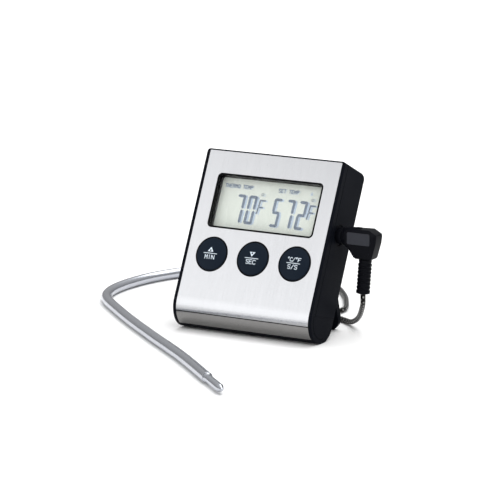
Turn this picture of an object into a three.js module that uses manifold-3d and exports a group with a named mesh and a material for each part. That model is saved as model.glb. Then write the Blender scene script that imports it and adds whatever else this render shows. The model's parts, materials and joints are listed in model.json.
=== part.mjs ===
// Digital meat thermometer and timer: a leaning table unit with a fold-out stand, a jack lead
// and a bent probe.
// Millimetres, +Z up. The origin is on the table, on the flat strip under the unit's rounded bottom.
import * as THREE from 'three';
import { mergeVertices } from 'three/addons/utils/BufferGeometryUtils.js';
import Module from 'manifold-3d';

const wasm = await Module();
wasm.setup();

// ---- Driving dimensions ----
const GAP = 0.3;                       // clearance between touching pieces
const LEAN = 25.24;                    // degrees the unit leans back
const CASE_W = 66;
const CASE_D = 19;
const CASE_TOP = 65.2;                 // above the centre of the rounded bottom
const ROUND_R = CASE_D / 2;
const STRIP_HALF_ANGLE = 9.1;          // half of the flat strip the unit stands on
const WALL = 1.6;
const HALF_W = CASE_W / 2;
const INNER_X = HALF_W - 1.5;

const STEEL_HALF_W = 31.5;
const STEEL_TOP = 64.1;
const STEEL_T = 0.5;
const STEEL_END_ANGLE = 72;            // how far the steel curls round the bottom
const FRAME_T = 2.3;                   // depth of the black front frame's plate
const FRAME_LIP = 2.6;

const WINDOW = { half: 25.26, low: 31.6, high: 55.2, corner: 2 };
const LENS = { half: 26.6, low: 30.6, high: 56.2, front: 2.6, back: 3.4 };
const PANEL = { half: 27, low: 30.2, high: 56.8, front: 3.7, back: 5.3 };
const BOARD = { half: 26, low: 13.6, high: 58, front: 9.8, back: 11 };

const BUTTON = { r: 7.54, spacing: 19.8, v: 20.2, proud: 1.5, flange: 8.6 };
const POST_TOP = { x: 28.6, v: 60.8 };
const POST_LOW = { x: 22, v: 9.2 };
const BOARD_SCREW = { x: 9.9, v: 26.2 };

const BATTERY = { r: 5.25, half: 21.6, v: 0.2, w: 8.9 };
const JACK = { v: 35.9, w: 7.9, bore: 1.55, bush: 2.6 };
const SPLIT = { v: 0.5, w: 3.9, slope: 0.155 };   // parting line between case and battery door

const STAND = { half: 28, v: 23.2, w: 17.3, t: 2.4, corner: 6, open: 41, barrel: 1.7 };
const RECESS = { half: 28.5, low: -5, high: STAND.v + 3, floor: 16.2 };
const SWITCH_SLOT = { x: 14, v: 48, long: 9, tall: 3.4 };

const CORD_R = 1.1;
const COIL = { x: -22, y: 60, inner: 6.7, outer: 17.7, high: 4.5 };
const TIE = { wide: 3.4, t: 0.7, inside: 5.3 };
const PROBE_R = 2.25;
const TIP_R = 1.7;

// ---- Small geometry helpers ----
const rad = THREE.MathUtils.degToRad;
const FRONT_Y = -ROUND_R;
const STAND_HEIGHT = ROUND_R * Math.cos(rad(STRIP_HALF_ANGLE));

function solid(geometry) {
  const plain = geometry.clone();
  plain.deleteAttribute('normal');
  plain.deleteAttribute('uv');
  const merged = mergeVertices(plain, 1e-4);
  return new wasm.Manifold(new wasm.Mesh({
    numProp: 3,
    vertProperties: merged.attributes.position.array,
    triVerts: new Uint32Array(merged.index.array),
  }));
}

function geometryOf(manifold) {
  const mesh = manifold.getMesh();
  const geometry = new THREE.BufferGeometry();
  geometry.setAttribute('position', new THREE.BufferAttribute(new Float32Array(mesh.vertProperties), 3));
  geometry.setIndex(new THREE.BufferAttribute(new Uint32Array(mesh.triVerts), 1));
  geometry.computeVertexNormals();
  return geometry;
}

// Body frame: X across, Y from the front face to the back (0 to CASE_D), Z up the face.
function sidePrism(points, x0, x1) {
  const shape = new THREE.Shape(points.map(([w, v]) => new THREE.Vector2(w, v)));
  const geometry = new THREE.ExtrudeGeometry(shape, { depth: x1 - x0, bevelEnabled: false });
  const turn = new THREE.Matrix4().makeBasis(
    new THREE.Vector3(0, 1, 0), new THREE.Vector3(0, 0, 1), new THREE.Vector3(1, 0, 0));
  return solid(geometry.applyMatrix4(turn).translate(x0, 0, 0));
}

function facePrism(shape, w0, w1) {
  const settings = { depth: w1 - w0, bevelEnabled: false, curveSegments: 4 };
  const geometry = new THREE.ExtrudeGeometry(shape, settings);
  return solid(geometry.rotateX(Math.PI / 2).translate(0, w1, 0));
}

function box(x0, x1, y0, y1, z0, z1) {
  const geometry = new THREE.BoxGeometry(x1 - x0, y1 - y0, z1 - z0);
  return solid(geometry.translate((x0 + x1) / 2, (y0 + y1) / 2, (z0 + z1) / 2));
}

function rodY(x, z, r, y0, y1, sides = 24) {
  const geometry = new THREE.CylinderGeometry(r, r, y1 - y0, sides);
  return solid(geometry.translate(x, (y0 + y1) / 2, z));
}

function rodX(y, z, r, x0, x1, sides = 16) {
  const geometry = new THREE.CylinderGeometry(r, r, x1 - x0, sides).rotateZ(Math.PI / 2);
  return solid(geometry.translate((x0 + x1) / 2, y, z));
}

function joined(...pieces) {
  return pieces.reduce((whole, piece) => whole.add(piece));
}

function cut(whole, ...tools) {
  return tools.reduce((left, tool) => left.subtract(tool), whole);
}

function roundedRect(x0, x1, z0, z1, r) {
  const shape = new THREE.Shape();
  shape.moveTo(x0 + r, z0);
  shape.lineTo(x1 - r, z0);
  shape.absarc(x1 - r, z0 + r, r, -Math.PI / 2, 0, false);
  shape.lineTo(x1, z1 - r);
  shape.absarc(x1 - r, z1 - r, r, 0, Math.PI / 2, false);
  shape.lineTo(x0 + r, z1);
  shape.absarc(x0 + r, z1 - r, r, Math.PI / 2, Math.PI, false);
  shape.lineTo(x0, z0 + r);
  shape.absarc(x0 + r, z0 + r, r, Math.PI, Math.PI * 1.5, false);
  return shape;
}

// A turned piece: the profile runs counter-clockwise so that the faces point out.
function lathe(profile, sides = 16) {
  const points = profile.map(([r, z]) => new THREE.Vector2(r, z));
  if (THREE.ShapeUtils.area(points) < 0) points.reverse();
  return new THREE.LatheGeometry(points, sides);
}

function tube(points, r, sides, step) {
  const path = new THREE.CatmullRomCurve3(points.map((p) => new THREE.Vector3(...p)), false, 'centripetal');
  const ring = new THREE.Shape();
  ring.absarc(0, 0, r, 0, Math.PI * 2, false);
  return new THREE.ExtrudeGeometry(ring, {
    steps: Math.ceil(path.getLength() / step),
    curveSegments: sides,
    extrudePath: path,
  });
}

// ---- The case's side outline, inset by a distance ----
const STRIP_ANGLE = 90 + LEAN;         // the flat strip faces straight down once the unit leans
const ARC_STOPS = [0, 18, 36, 54, 72, 90, STRIP_ANGLE - STRIP_HALF_ANGLE, STRIP_ANGLE + STRIP_HALF_ANGLE,
  142, 161, 180];

function outline(inset) {
  const r = ROUND_R - inset;
  const arc = ARC_STOPS.map((a) => [ROUND_R - r * Math.cos(rad(a)), -r * Math.sin(rad(a))]);
  const back = CASE_D - inset;
  const top = CASE_TOP - inset;
  const corner = 2.4;
  const shoulder = [0, 30, 60, 90].map((a) => [
    back - corner + corner * Math.cos(rad(a)), top - corner + corner * Math.sin(rad(a))]);
  return [...arc, ...shoulder, [inset, top]];
}

function shell(outer, inner, halfX, innerHalfX) {
  return cut(sidePrism(outline(outer), -halfX, halfX), sidePrism(outline(inner), -innerHalfX, innerHalfX));
}

// A wedge from the centre of the rounded bottom, covering the front and the curl down to an angle.
function frontWedge(angle, depth, top, halfX) {
  const reach = 30;
  return sidePrism([
    [ROUND_R, 0], [depth, 0], [depth, top], [-5, top], [-5, -8],
    [ROUND_R - reach * Math.cos(rad(45)), -reach * Math.sin(rad(45))],
    [ROUND_R - reach * Math.cos(rad(angle)), -reach * Math.sin(rad(angle))],
  ], -halfX, halfX);
}

function splitLine(w) {
  return SPLIT.v + SPLIT.slope * (w - SPLIT.w);
}

function belowSplit(offset, halfX) {
  return sidePrism([
    [-5, splitLine(-5) + offset], [-5, -20], [30, -20], [30, splitLine(30) + offset],
  ], -halfX, halfX);
}

function windowCut(grow, w0, w1) {
  return facePrism(roundedRect(-WINDOW.half - grow, WINDOW.half + grow,
    WINDOW.low - grow, WINDOW.high + grow, WINDOW.corner), w0, w1);
}

const buttonPlaces = [-1, 0, 1].map((k) => k * BUTTON.spacing);
const buttonHoles = (w0, w1) => buttonPlaces.map((x) => rodY(x, BUTTON.v, BUTTON.r + GAP, w0, w1, 32));
const screwPlaces = [
  ['upper_left', -POST_TOP.x, POST_TOP.v], ['upper_right', POST_TOP.x, POST_TOP.v],
  ['lower_left', -POST_LOW.x, POST_LOW.v], ['lower_right', POST_LOW.x, POST_LOW.v],
];
const BOSS_END = 12.5;                 // where the front posts meet the rear bosses
const HEAD_SEAT = 14.5;
const SCREW = { head: 2, headLong: 1.2, shank: 1.05, long: 6.5, hole: 1.4 };

// ---- Front of the case ----
function frontCover() {
  const sheet = shell(0, STEEL_T, STEEL_HALF_W, STEEL_HALF_W + 1)
    .intersect(frontWedge(STEEL_END_ANGLE, 3, STEEL_TOP, STEEL_HALF_W + 1));
  return cut(sheet, windowCut(0, -1, 2), ...buttonHoles(-1, 2));
}

function frontCase() {
  const full = sidePrism(outline(0), -HALF_W, HALF_W);
  const plate = cut(full.intersect(box(-40, 40, -1, FRAME_LIP, 0.45, 70)),
    box(-STEEL_HALF_W - GAP, STEEL_HALF_W + GAP, -1, STEEL_T + GAP, -1, STEEL_TOP + GAP));
  const hollowed = cut(plate, box(-INNER_X + 1, INNER_X - 1, FRAME_T, 4, 2, CASE_TOP - 2));
  const curl = shell(STEEL_T + GAP, FRAME_T, STEEL_HALF_W - GAP, STEEL_HALF_W)
    .intersect(frontWedge(STEEL_END_ANGLE - 2, FRAME_T, 1.5, STEEL_HALF_W));
  const posts = screwPlaces.map(([, x, v]) => rodY(x, v, 2.2, 1.6, BOSS_END, 12));
  const bosses = [-1, 1].map((k) => rodY(k * BOARD_SCREW.x, BOARD_SCREW.v, 1.8, 1.6, BOARD.front - GAP, 12));
  const holes = screwPlaces.map(([, x, v]) => rodY(x, v, SCREW.hole, 7, BOSS_END + 1, 10));
  const boardHoles = [-1, 1].map((k) => rodY(k * BOARD_SCREW.x, BOARD_SCREW.v, 1, 5.5, BOARD.front, 8));
  return cut(joined(hollowed, curl, ...posts, ...bosses),
    windowCut(-0.35, -1, 4), ...buttonHoles(-1, 4), ...holes, ...boardHoles);
}

function buttonCap() {
  const profile = [
    [0, 4.3], [1.6, 4.3], [1.6, 3.7], [BUTTON.flange, 3.7], [BUTTON.flange, 2.6], [BUTTON.r, 2.6],
    [BUTTON.r, -0.2], [BUTTON.r - 0.3, -0.6], [BUTTON.r - 1.6, -1], [BUTTON.r - 4, -1.35],
    [0, -BUTTON.proud],
  ];
  return lathe(profile, 32);
}

// ---- Rear of the case ----
function rearCase() {
  const walls = cut(shell(0, WALL, HALF_W, INNER_X), box(-40, 40, -1, FRAME_LIP + GAP, -20, 70),
    belowSplit(0.15, 40));
  const tray = box(-RECESS.half - 1.5, RECESS.half + 1.5, RECESS.floor - WALL, CASE_D - WALL / 2,
    splitLine(CASE_D) + 0.3, RECESS.high + 1.5);
  const floorTail = box(-RECESS.half, RECESS.half, RECESS.floor - WALL, RECESS.floor, RECESS.low, 6);
  const recess = box(-RECESS.half, RECESS.half, RECESS.floor, 22, -6, RECESS.high);
  const hingeRelief = box(-RECESS.half, RECESS.half, 15.3, 22, STAND.v - 2, RECESS.high);
  const pinBore = rodX(STAND.w, STAND.v, 1, -RECESS.half - 2.5, RECESS.half + 2.5, 12);
  const upper = screwPlaces.slice(0, 2);
  const lower = screwPlaces.slice(2);
  const bosses = [
    ...upper.map(([, x, v]) => rodY(x, v, 2.9, BOSS_END + GAP, CASE_D - 0.6, 14)
      .intersect(box(-HALF_W + 0.4, HALF_W - 0.4, 0, CASE_D, 0, CASE_TOP - 0.4))),
    ...lower.map(([, x, v]) => rodY(x, v, 3, BOSS_END + GAP, RECESS.floor, 14)),
  ];
  const sinks = screwPlaces.map(([, x, v]) => rodY(x, v, SCREW.head + GAP, HEAD_SEAT, 22, 12));
  const holes = screwPlaces.map(([, x, v]) => rodY(x, v, SCREW.hole, 10, 22, 10));
  const jackHole = rodX(JACK.w, JACK.v, JACK.bush + GAP, INNER_X - 2, HALF_W + 2, 20);
  const soundHoles = [-18, -15, -12].map((x) => rodY(x, 48, 0.8, CASE_D - 3, CASE_D + 1, 8));
  const slot = box(SWITCH_SLOT.x - SWITCH_SLOT.long / 2, SWITCH_SLOT.x + SWITCH_SLOT.long / 2,
    CASE_D - 3, CASE_D + 1, SWITCH_SLOT.v - SWITCH_SLOT.tall / 2, SWITCH_SLOT.v + SWITCH_SLOT.tall / 2);
  return cut(joined(cut(walls, recess), cut(tray, recess), floorTail, ...bosses),
    hingeRelief, pinBore, ...sinks, ...holes, jackHole, ...soundHoles, slot);
}

function batteryDoor() {
  const tray = shell(0, WALL, HALF_W, INNER_X).intersect(belowSplit(-0.15, 40));
  const notch = box(-RECESS.half - GAP, RECESS.half + GAP, ROUND_R + 2, 25, RECESS.low - GAP, 10);
  const front = frontWedge(STEEL_END_ANGLE + 2, FRAME_T + 5, 10, STEEL_HALF_W + GAP);
  return cut(tray, notch, front);
}

// ---- Display, board and what stands on it ----
const bodyBox = (x0, x1, w0, w1, v0, v1) => geometryOf(box(x0, x1, w0, w1, v0, v1));

function board() {
  const plate = box(-BOARD.half, BOARD.half, BOARD.front, BOARD.back, BOARD.low, BOARD.high);
  const jackNotch = box(16.5, 40, 0, 20, JACK.v - 3.3, JACK.v + 3.3);
  const holes = [-1, 1].map((k) => rodY(k * BOARD_SCREW.x, BOARD_SCREW.v, 1.1, 0, 20, 8));
  return cut(plate, jackNotch, ...holes);
}

function tactSwitch(x) {
  const base = box(x - 3, x + 3, 6.2, BOARD.front - GAP, BUTTON.v - 3, BUTTON.v + 3);
  return joined(base, rodY(x, BUTTON.v, 1.75, 5.4, 6.6, 12));
}

function jackSocket() {
  const block = box(18, INNER_X - GAP, JACK.w - 2.3, JACK.w + 2.3, JACK.v - 2.6, JACK.v + 2.6);
  const bush = rodX(JACK.w, JACK.v, JACK.bush, INNER_X - 1, HALF_W - 0.2, 20);
  return cut(joined(block, bush), rodX(JACK.w, JACK.v, JACK.bore, 20.5, HALF_W + 1, 16));
}

function batteryCell() {
  const r = BATTERY.r;
  const half = BATTERY.half;
  return lathe([[0, -half], [r, -half], [r, half], [1.9, half], [1.9, half + 0.9], [0, half + 0.9]], 20)
    .rotateZ(-Math.PI / 2).translate(0, BATTERY.w, BATTERY.v);
}

function contactSpring() {
  const turns = 3;
  const points = [];
  for (let i = 0; i <= turns * 8; i += 1) {
    const a = (i / 8) * Math.PI * 2;
    const r = 3.2 - (i / (turns * 8)) * 1.2;
    points.push([-29.2 + (i / (turns * 8)) * 6.6, BATTERY.w + r * Math.cos(a), BATTERY.v + r * Math.sin(a)]);
  }
  return tube(points, 0.3, 5, 1.9);
}

function modeSlider() {
  const v = SWITCH_SLOT.v;
  const x = SWITCH_SLOT.x - 2;
  return joined(box(x - 3.9, x + 3.9, 15.9, 17, v - 2.6, v + 2.6),
    box(x - 1.8, x + 1.8, 16.5, 18.8, v - 1.3, v + 1.3));
}

function screw(headLow, shankEnd, head, shank) {
  return lathe([[0, shankEnd], [shank, shankEnd], [shank, headLow], [head, headLow],
    [head, headLow + SCREW.headLong], [0, headLow + SCREW.headLong]], 12);
}

// ---- Stand ----
function standFlap() {
  const half = STAND.half;
  const flap = box(-half, half, -0.8, STAND.t - 0.8, -60, 0);
  const barrel = rodX(0, 0, STAND.barrel, -half, half, 16);
  const bore = rodX(0, 0, 1, -half - 1, half + 1, 12);
  const grip = rodY(0, -20.5, 5, 0.9, 5, 20);
  return cut(joined(flap, barrel), bore, grip);
}

function trimmedStand(length) {
  const half = STAND.half;
  const edge = roundedRect(-half, half, -length, 10, STAND.corner);
  return standFlap().intersect(facePrism(edge, -5, 5));
}

// ---- Placement ----
const tilt = new THREE.Group();
tilt.rotation.x = -rad(LEAN);
tilt.position.z = STAND_HEIGHT;
const body = new THREE.Group();
body.position.y = FRONT_Y;
tilt.add(body);
const whole = new THREE.Group();
whole.add(tilt);

function finish(color, roughness, metalness = 0) {
  return new THREE.MeshStandardMaterial({ color, roughness, metalness });
}

const finishes = {
  steel: finish('#d9dbdf', 0.32, 1),
  polished: finish('#c9ccd0', 0.18, 1),
  black: finish('#212327', 0.5),
  navy: finish('#17202a', 0.6),
  clear: finish('#e6edf0', 0.05),
  display: finish('#cfd6cc', 0.3),
  rubber: finish('#3a3a3c', 0.8),
  board: finish('#2f6b45', 0.5),
  braid: finish('#8a8c8e', 0.4, 1),
  jacket: finish('#f2f2f0', 0.5),
  cell: finish('#3d6f9e', 0.35, 0.5),
};

function place(parent, name, shape, material) {
  const geometry = shape.isBufferGeometry ? shape : geometryOf(shape);
  const mesh = new THREE.Mesh(geometry, material);
  mesh.name = name;
  parent.add(mesh);
  return mesh;
}

place(body, 'front_cover', frontCover(), finishes.steel);
place(body, 'front_case', frontCase(), finishes.black);
place(body, 'rear_case', rearCase(), finishes.black);
place(body, 'battery_door', batteryDoor(), finishes.black);
place(body, 'display_lens', bodyBox(-LENS.half, LENS.half, LENS.front, LENS.back, LENS.low, LENS.high),
  finishes.clear);
place(body, 'display_panel', bodyBox(-PANEL.half, PANEL.half, PANEL.front, PANEL.back, PANEL.low,
  PANEL.high), finishes.display);
place(body, 'display_connector_upper', bodyBox(-24, 24, 5.6, 9.5, 54.4, 56.4), finishes.rubber);
place(body, 'display_connector_lower', bodyBox(-24, 24, 5.6, 9.5, 30.5, 32.4), finishes.rubber);
place(body, 'circuit_board', board(), finishes.board);
place(body, 'control_chip', bodyBox(-6, 6, BOARD.back + GAP, 12.9, 40, 50), finishes.rubber);
place(body, 'buzzer', rodY(-15, 48, 5.5, BOARD.back + GAP, 15.6, 20), finishes.black);

['minute_button', 'second_button', 'unit_button'].forEach((name, k) => {
  place(body, name, buttonCap(), finishes.navy).position.set(buttonPlaces[k], 0, BUTTON.v);
});
['minute_switch', 'second_switch', 'unit_switch'].forEach((name, k) => {
  place(body, name, tactSwitch(buttonPlaces[k]), finishes.polished);
});

place(body, 'jack_socket', jackSocket(), finishes.black);
place(body, 'mode_slider', modeSlider(), finishes.black);
place(body, 'mode_switch', bodyBox(SWITCH_SLOT.x - 5, SWITCH_SLOT.x + 5, BOARD.back + GAP, 15.6,
  SWITCH_SLOT.v - 3, SWITCH_SLOT.v + 3), finishes.polished);

place(body, 'battery', batteryCell(), finishes.cell);
place(body, 'battery_contact_plus', bodyBox(22.9, 23.5, 5.5, 12.3, -3.2, 3.6), finishes.polished);
place(body, 'battery_contact_minus', bodyBox(-30.6, -29.9, 5.5, 12.3, -3.2, 3.6), finishes.polished);
place(body, 'battery_spring', contactSpring(), finishes.polished);

for (const [where, x, v] of screwPlaces) {
  const seat = HEAD_SEAT + GAP;
  const shape = screw(seat, seat - SCREW.long, SCREW.head, SCREW.shank);
  place(body, `case_screw_${where}`, shape, finishes.polished).position.set(x, 0, v);
}
for (const [where, k] of [['left', -1], ['right', 1]]) {
  const seat = BOARD.back + GAP;
  place(body, `board_screw_${where}`, screw(seat, seat - 5, 1.8, 0.7), finishes.polished)
    .position.set(k * BOARD_SCREW.x, 0, BOARD_SCREW.v);
}

// The stand's foot is trimmed level with the table: its length runs from the hinge down to the table.
const standTurn = rad(STAND.open - LEAN);
const hingeHeight = STAND_HEIGHT + STAND.v * Math.cos(rad(LEAN)) - (STAND.w - ROUND_R) * Math.sin(rad(LEAN));
const footLength = (hingeHeight + 0.8 * Math.sin(standTurn)) / Math.cos(standTurn) + 0.5;
const below = solid(new THREE.BoxGeometry(100, 40, 10).translate(0, 0, -hingeHeight - 5)
  .rotateX(-standTurn));
place(body, 'stand', trimmedStand(footLength).subtract(below), finishes.black)
  .position.set(0, STAND.w, STAND.v);
body.getObjectByName('stand').rotation.x = rad(STAND.open);
place(body, 'stand_pin', rodX(STAND.w, STAND.v, 0.7, -RECESS.half - 2.2, RECESS.half + 2.2, 10),
  finishes.polished);

// ---- Plug, in the table's frame ----
function bodyPoint(v, w) {
  const c = Math.cos(rad(LEAN));
  const s = Math.sin(rad(LEAN));
  return [v * s + (w - ROUND_R) * c, STAND_HEIGHT + v * c - (w - ROUND_R) * s];
}

const [PLUG_Y, PLUG_Z] = bodyPoint(JACK.v, JACK.w);
const RELIEF_X = 45.9;
const RELIEF_TURN = 4.2;                // degrees the boot leans back under the plug
const plug = new THREE.Group();
plug.position.set(0, PLUG_Y, PLUG_Z);
whole.add(plug);

function plugBody() {
  const shape = new THREE.Shape([
    [36, 2.9], [37.2, 3.7], [48, 4], [51.6, 1.9], [51.3, -1.5], [50, -7.8], [48.4, -8.3], [41.6, -8.3],
    [40.2, -7.6], [38, -4.2], [36, -3.2],
  ].map(([x, z]) => new THREE.Vector2(x, z)));
  const depth = 5;
  const geometry = new THREE.ExtrudeGeometry(shape, {
    depth, bevelThickness: 1.2, bevelSize: 1.2, bevelOffset: -1.2, bevelSegments: 1,
  });
  const block = solid(geometry.rotateX(Math.PI / 2).translate(0, depth / 2, 0));
  const collar = rodX(0, 0, 3.7, HALF_W + GAP, 38, 20);
  return cut(joined(block, collar), rodX(0, 0, 1.55, 30, 41, 16));
}

const axial = (profile) => lathe(profile, 14).rotateZ(-Math.PI / 2);
place(plug, 'plug_body', plugBody(), finishes.black);
place(plug, 'plug_sleeve', axial([[0, 27], [1.25, 27], [1.25, 40.6], [0, 40.6]]), finishes.polished);
place(plug, 'plug_insulator', axial([[0, 25.9], [1.2, 25.9], [1.2, 26.7], [0, 26.7]]), finishes.black);
place(plug, 'plug_tip', axial([
  [0, 21.6], [0.7, 21.8], [1.25, 23], [0.95, 24], [1.25, 24.8], [1.25, 25.6], [0, 25.6],
]), finishes.polished);
place(plug, 'strain_relief', lathe([[0, -23], [2.9, -23], [2.9, -22], [2.6, -21], [2.7, -8.8], [0, -8.8]], 14)
  .rotateX(Math.PI / 2).rotateY(rad(RELIEF_TURN)).translate(RELIEF_X, 0, 0), finishes.black);

// ---- Cord and probe, lying on the table ----
const RELIEF_END_Z = PLUG_Z - 23 - GAP;
const plugLead = [
  [44.2, PLUG_Y, RELIEF_END_Z], [44.1, 14.2, 17.2], [43.0, 16.2, 14.6], [41.0, 19.2, 12.0], [38.2, 23.2, 8.8],
  [35.0, 27.4, 5.8], [31.2, 31.2, 3.1], [27.2, 34.6, 1.4], [22.9, 37.4, CORD_R], [18.5, 39.6, CORD_R],
  [11, 41.6, CORD_R], [2, 42.9, CORD_R], [-6, 43.4, CORD_R], [-12.2, 43.4, CORD_R],
];
const probeLead = [
  [-5.2, 50.2, 2.6], [-4.1, 48.3, 2.0], [-1.2, 46.9, 1.4], [3.2, 46.6, CORD_R], [7.8, 47.5, CORD_R],
  [11.4, 50.3, CORD_R], [12.7, 54.6, CORD_R], [11.0, 60.2, CORD_R], [7.2, 67.4, CORD_R], [2.2, 75.8, CORD_R],
  [-3.6, 83.8, CORD_R], [-9.4, 90.6, CORD_R], [-18.6, 98.4, CORD_R], [-29, 104, CORD_R],
  [-40.5, 107.2, CORD_R], [-52, 107.9, CORD_R], [-62.4, 105.6, 1.3], [-69.1, 100.6, 1.9],
  [-72.9, 95.3, PROBE_R],
];
const probeRoute = [
  [27.2, -81.2], [0.6, -56.9], [-30.4, -31.1], [-54.5, -10.4], [-66.2, 0.3], [-75.3, 8.8], [-81.6, 15.2],
  [-86.2, 21.4], [-89.1, 27.9], [-90.9, 35.2], [-91.6, 43.2], [-91.5, 50], [-90.8, 57], [-89.4, 64],
  [-87.2, 71], [-84.2, 77.8], [-80.2, 84],
].map(([x, y]) => [x, y, PROBE_R]);

function coilRing() {
  const { inner, outer, high } = COIL;
  const ring = solid(lathe([[inner, 0.01], [outer, 0.01], [outer, high], [inner, high], [inner, 0.01]], 32)
    .rotateX(Math.PI / 2));
  const half = TIE.wide / 2 + GAP;
  return ring.subtract(box(-outer - 2, -inner + 2, -half, half, -1, TIE.t + GAP));
}

function cableTie() {
  const from = -COIL.outer - GAP;
  const to = -COIL.inner + GAP;
  const half = TIE.wide / 2;
  return cut(box(from - TIE.t, to + TIE.t, -half, half, 0.02, TIE.inside + TIE.t),
    box(from, to, -half - 1, half + 1, TIE.t, TIE.inside));
}

place(whole, 'cable_plug_end', tube(plugLead, CORD_R, 8, 4.6), finishes.braid);
place(whole, 'cable_probe_end', tube(probeLead, CORD_R, 8, 4.6), finishes.braid);
for (const [name, shape, material] of [
  ['cable_coil', coilRing(), finishes.braid],
  ['cable_tie', cableTie(), finishes.jacket],
]) {
  place(whole, name, shape, material).position.set(COIL.x, COIL.y, 0);
}

function along(mesh, from, to) {
  const direction = new THREE.Vector3(...to).sub(new THREE.Vector3(...from)).normalize();
  mesh.position.set(...from);
  mesh.quaternion.setFromUnitVectors(new THREE.Vector3(0, 1, 0), direction);
}

// The probe's straight run: its direction also places the tip and the sensor inside it.
const tipEnd = probeRoute[0];
const tipAway = new THREE.Vector3(...probeRoute[0]).sub(new THREE.Vector3(...probeRoute[1])).normalize();
const tipStart = tipEnd.map((c, i) => c + tipAway.getComponent(i) * GAP);
const tipFar = tipEnd.map((c, i) => c + tipAway.getComponent(i) * 20);

place(whole, 'probe_tube', tube(probeRoute, PROBE_R, 12, 6.5), finishes.polished);
const probeTip = place(whole, 'probe_tip', lathe([
  [0.95, 0], [TIP_R + 0.5, 0], [TIP_R, 1.6], [TIP_R, 16.6], [0.25, 20.2], [0, 20.2], [0, 11],
  [0.95, 11], [0.95, 0],
], 14), finishes.polished);
along(probeTip, tipStart, tipFar);
const sensorFrom = tipEnd.map((c, i) => c + tipAway.getComponent(i) * 6);
const sensor = place(whole, 'thermistor', lathe([[0, 0], [0.3, 0], [0.62, 1], [0.62, 3.2], [0, 4]], 8),
  finishes.rubber);
along(sensor, sensorFrom, tipFar);

const tubeEnd = probeRoute[probeRoute.length - 1];
const ferruleTo = [-73.05, 95.07, PROBE_R];
const ferrule = place(whole, 'probe_ferrule', lathe([
  [0, GAP], [2.2, GAP], [2.2, 6], [2.0, 6.6], [2.2, 7.2], [2.2, 12], [1.5, 13.2], [0, 13.2],
], 14), finishes.steel);
along(ferrule, tubeEnd, ferruleTo);

export default whole;
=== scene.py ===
"""Meat thermometer: the detailed pieces and finishes of a leaning probe thermometer and timer."""

import json
import math
from types import SimpleNamespace

import bmesh
import bpy
from mathutils import Matrix, Vector


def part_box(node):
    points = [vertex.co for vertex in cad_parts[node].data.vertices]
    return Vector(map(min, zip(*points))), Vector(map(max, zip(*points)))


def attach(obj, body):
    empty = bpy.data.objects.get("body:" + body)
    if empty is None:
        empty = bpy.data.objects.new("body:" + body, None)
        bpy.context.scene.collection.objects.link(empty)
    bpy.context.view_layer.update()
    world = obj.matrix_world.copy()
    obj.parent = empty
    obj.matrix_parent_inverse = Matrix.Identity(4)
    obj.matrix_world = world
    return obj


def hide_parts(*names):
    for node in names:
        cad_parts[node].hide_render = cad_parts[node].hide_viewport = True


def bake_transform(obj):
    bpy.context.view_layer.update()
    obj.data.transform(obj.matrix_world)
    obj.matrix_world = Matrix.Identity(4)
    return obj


bl_info = {
    "name": "Meat Thermometer",
    "version": (1, 0, 0),
    "blender": (4, 5, 0),
    "location": "View3D > Sidebar > Thermometer",
    "description": "Builds a digital meat thermometer with its stand, lead and probe",
    "category": "Object",
}

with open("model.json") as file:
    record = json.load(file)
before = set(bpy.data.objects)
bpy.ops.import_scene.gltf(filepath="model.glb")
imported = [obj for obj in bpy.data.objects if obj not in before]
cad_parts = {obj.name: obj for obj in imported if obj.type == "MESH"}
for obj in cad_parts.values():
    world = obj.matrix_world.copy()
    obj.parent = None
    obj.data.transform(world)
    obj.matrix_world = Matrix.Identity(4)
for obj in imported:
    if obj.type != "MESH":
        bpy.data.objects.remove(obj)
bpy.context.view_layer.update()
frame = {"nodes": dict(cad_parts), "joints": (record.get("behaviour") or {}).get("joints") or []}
MM = 0.001
GAP = 0.3                      # millimetres between neighbouring pieces
OFF = 0.02                     # how far a print stands off what it is printed on


# ---------------------------------------------------------------------------
# Places, read from the frame
# ---------------------------------------------------------------------------

def joint(name):
    return next(j for j in frame["joints"] if j["name"] == name)


PRESS = Vector(joint("minute_button_press")["axis"])
LEAN = math.atan2(-PRESS.z, PRESS.y)
UPRIGHT = Matrix.Rotation(-LEAN, 4, "X")


def span(node):
    """The lowest and highest corners of a CAD node across, into and up the leaning face, in millimetres."""
    back = UPRIGHT.inverted()
    points = [back @ v.co / MM for v in frame["nodes"][node].data.vertices]
    low = Vector([min(p[i] for p in points) for i in range(3)])
    high = Vector([max(p[i] for p in points) for i in range(3)])
    return low, high


CASE_TOP = 65.2                # the case's top above the middle of its rounded bottom
CASE_LOW, CASE_HIGH = span("front_case")
FACE = Vector((0, CASE_LOW.y, CASE_HIGH.z - CASE_TOP))
AT_CASE = UPRIGHT @ Matrix.Scale(MM, 4) @ Matrix.Translation(FACE)
AT_TABLE = Matrix.Scale(MM, 4)


def on_face(node):
    """A node's corners measured from the front face and the middle of the rounded bottom."""
    low, high = span(node)
    return low - FACE, high - FACE


def table_point(node):
    """The middle of a node's box, in millimetres above the table."""
    low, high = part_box(node)
    return (low + high) / 2 / MM


# ---------------------------------------------------------------------------
# Colours
# ---------------------------------------------------------------------------

def linear(code, alpha=1.0):
    """An sRGB hex colour as linear light."""
    values = [int(code[i:i + 2], 16) / 255 for i in (1, 3, 5)]
    return tuple([v / 12.92 if v <= 0.04045 else ((v + 0.055) / 1.055) ** 2.4 for v in values] + [alpha])


def darker(colour, factor):
    """A linear colour with less light in it."""
    return tuple([part * factor for part in colour[:3]] + [1.0])


# ---------------------------------------------------------------------------
# Settings
# ---------------------------------------------------------------------------

def length(name, description, millimetres):
    return bpy.props.FloatProperty(
        name=name, description=description, default=millimetres * MM, min=0, soft_max=0.3, precision=5,
        subtype="DISTANCE", unit="LENGTH")


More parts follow.
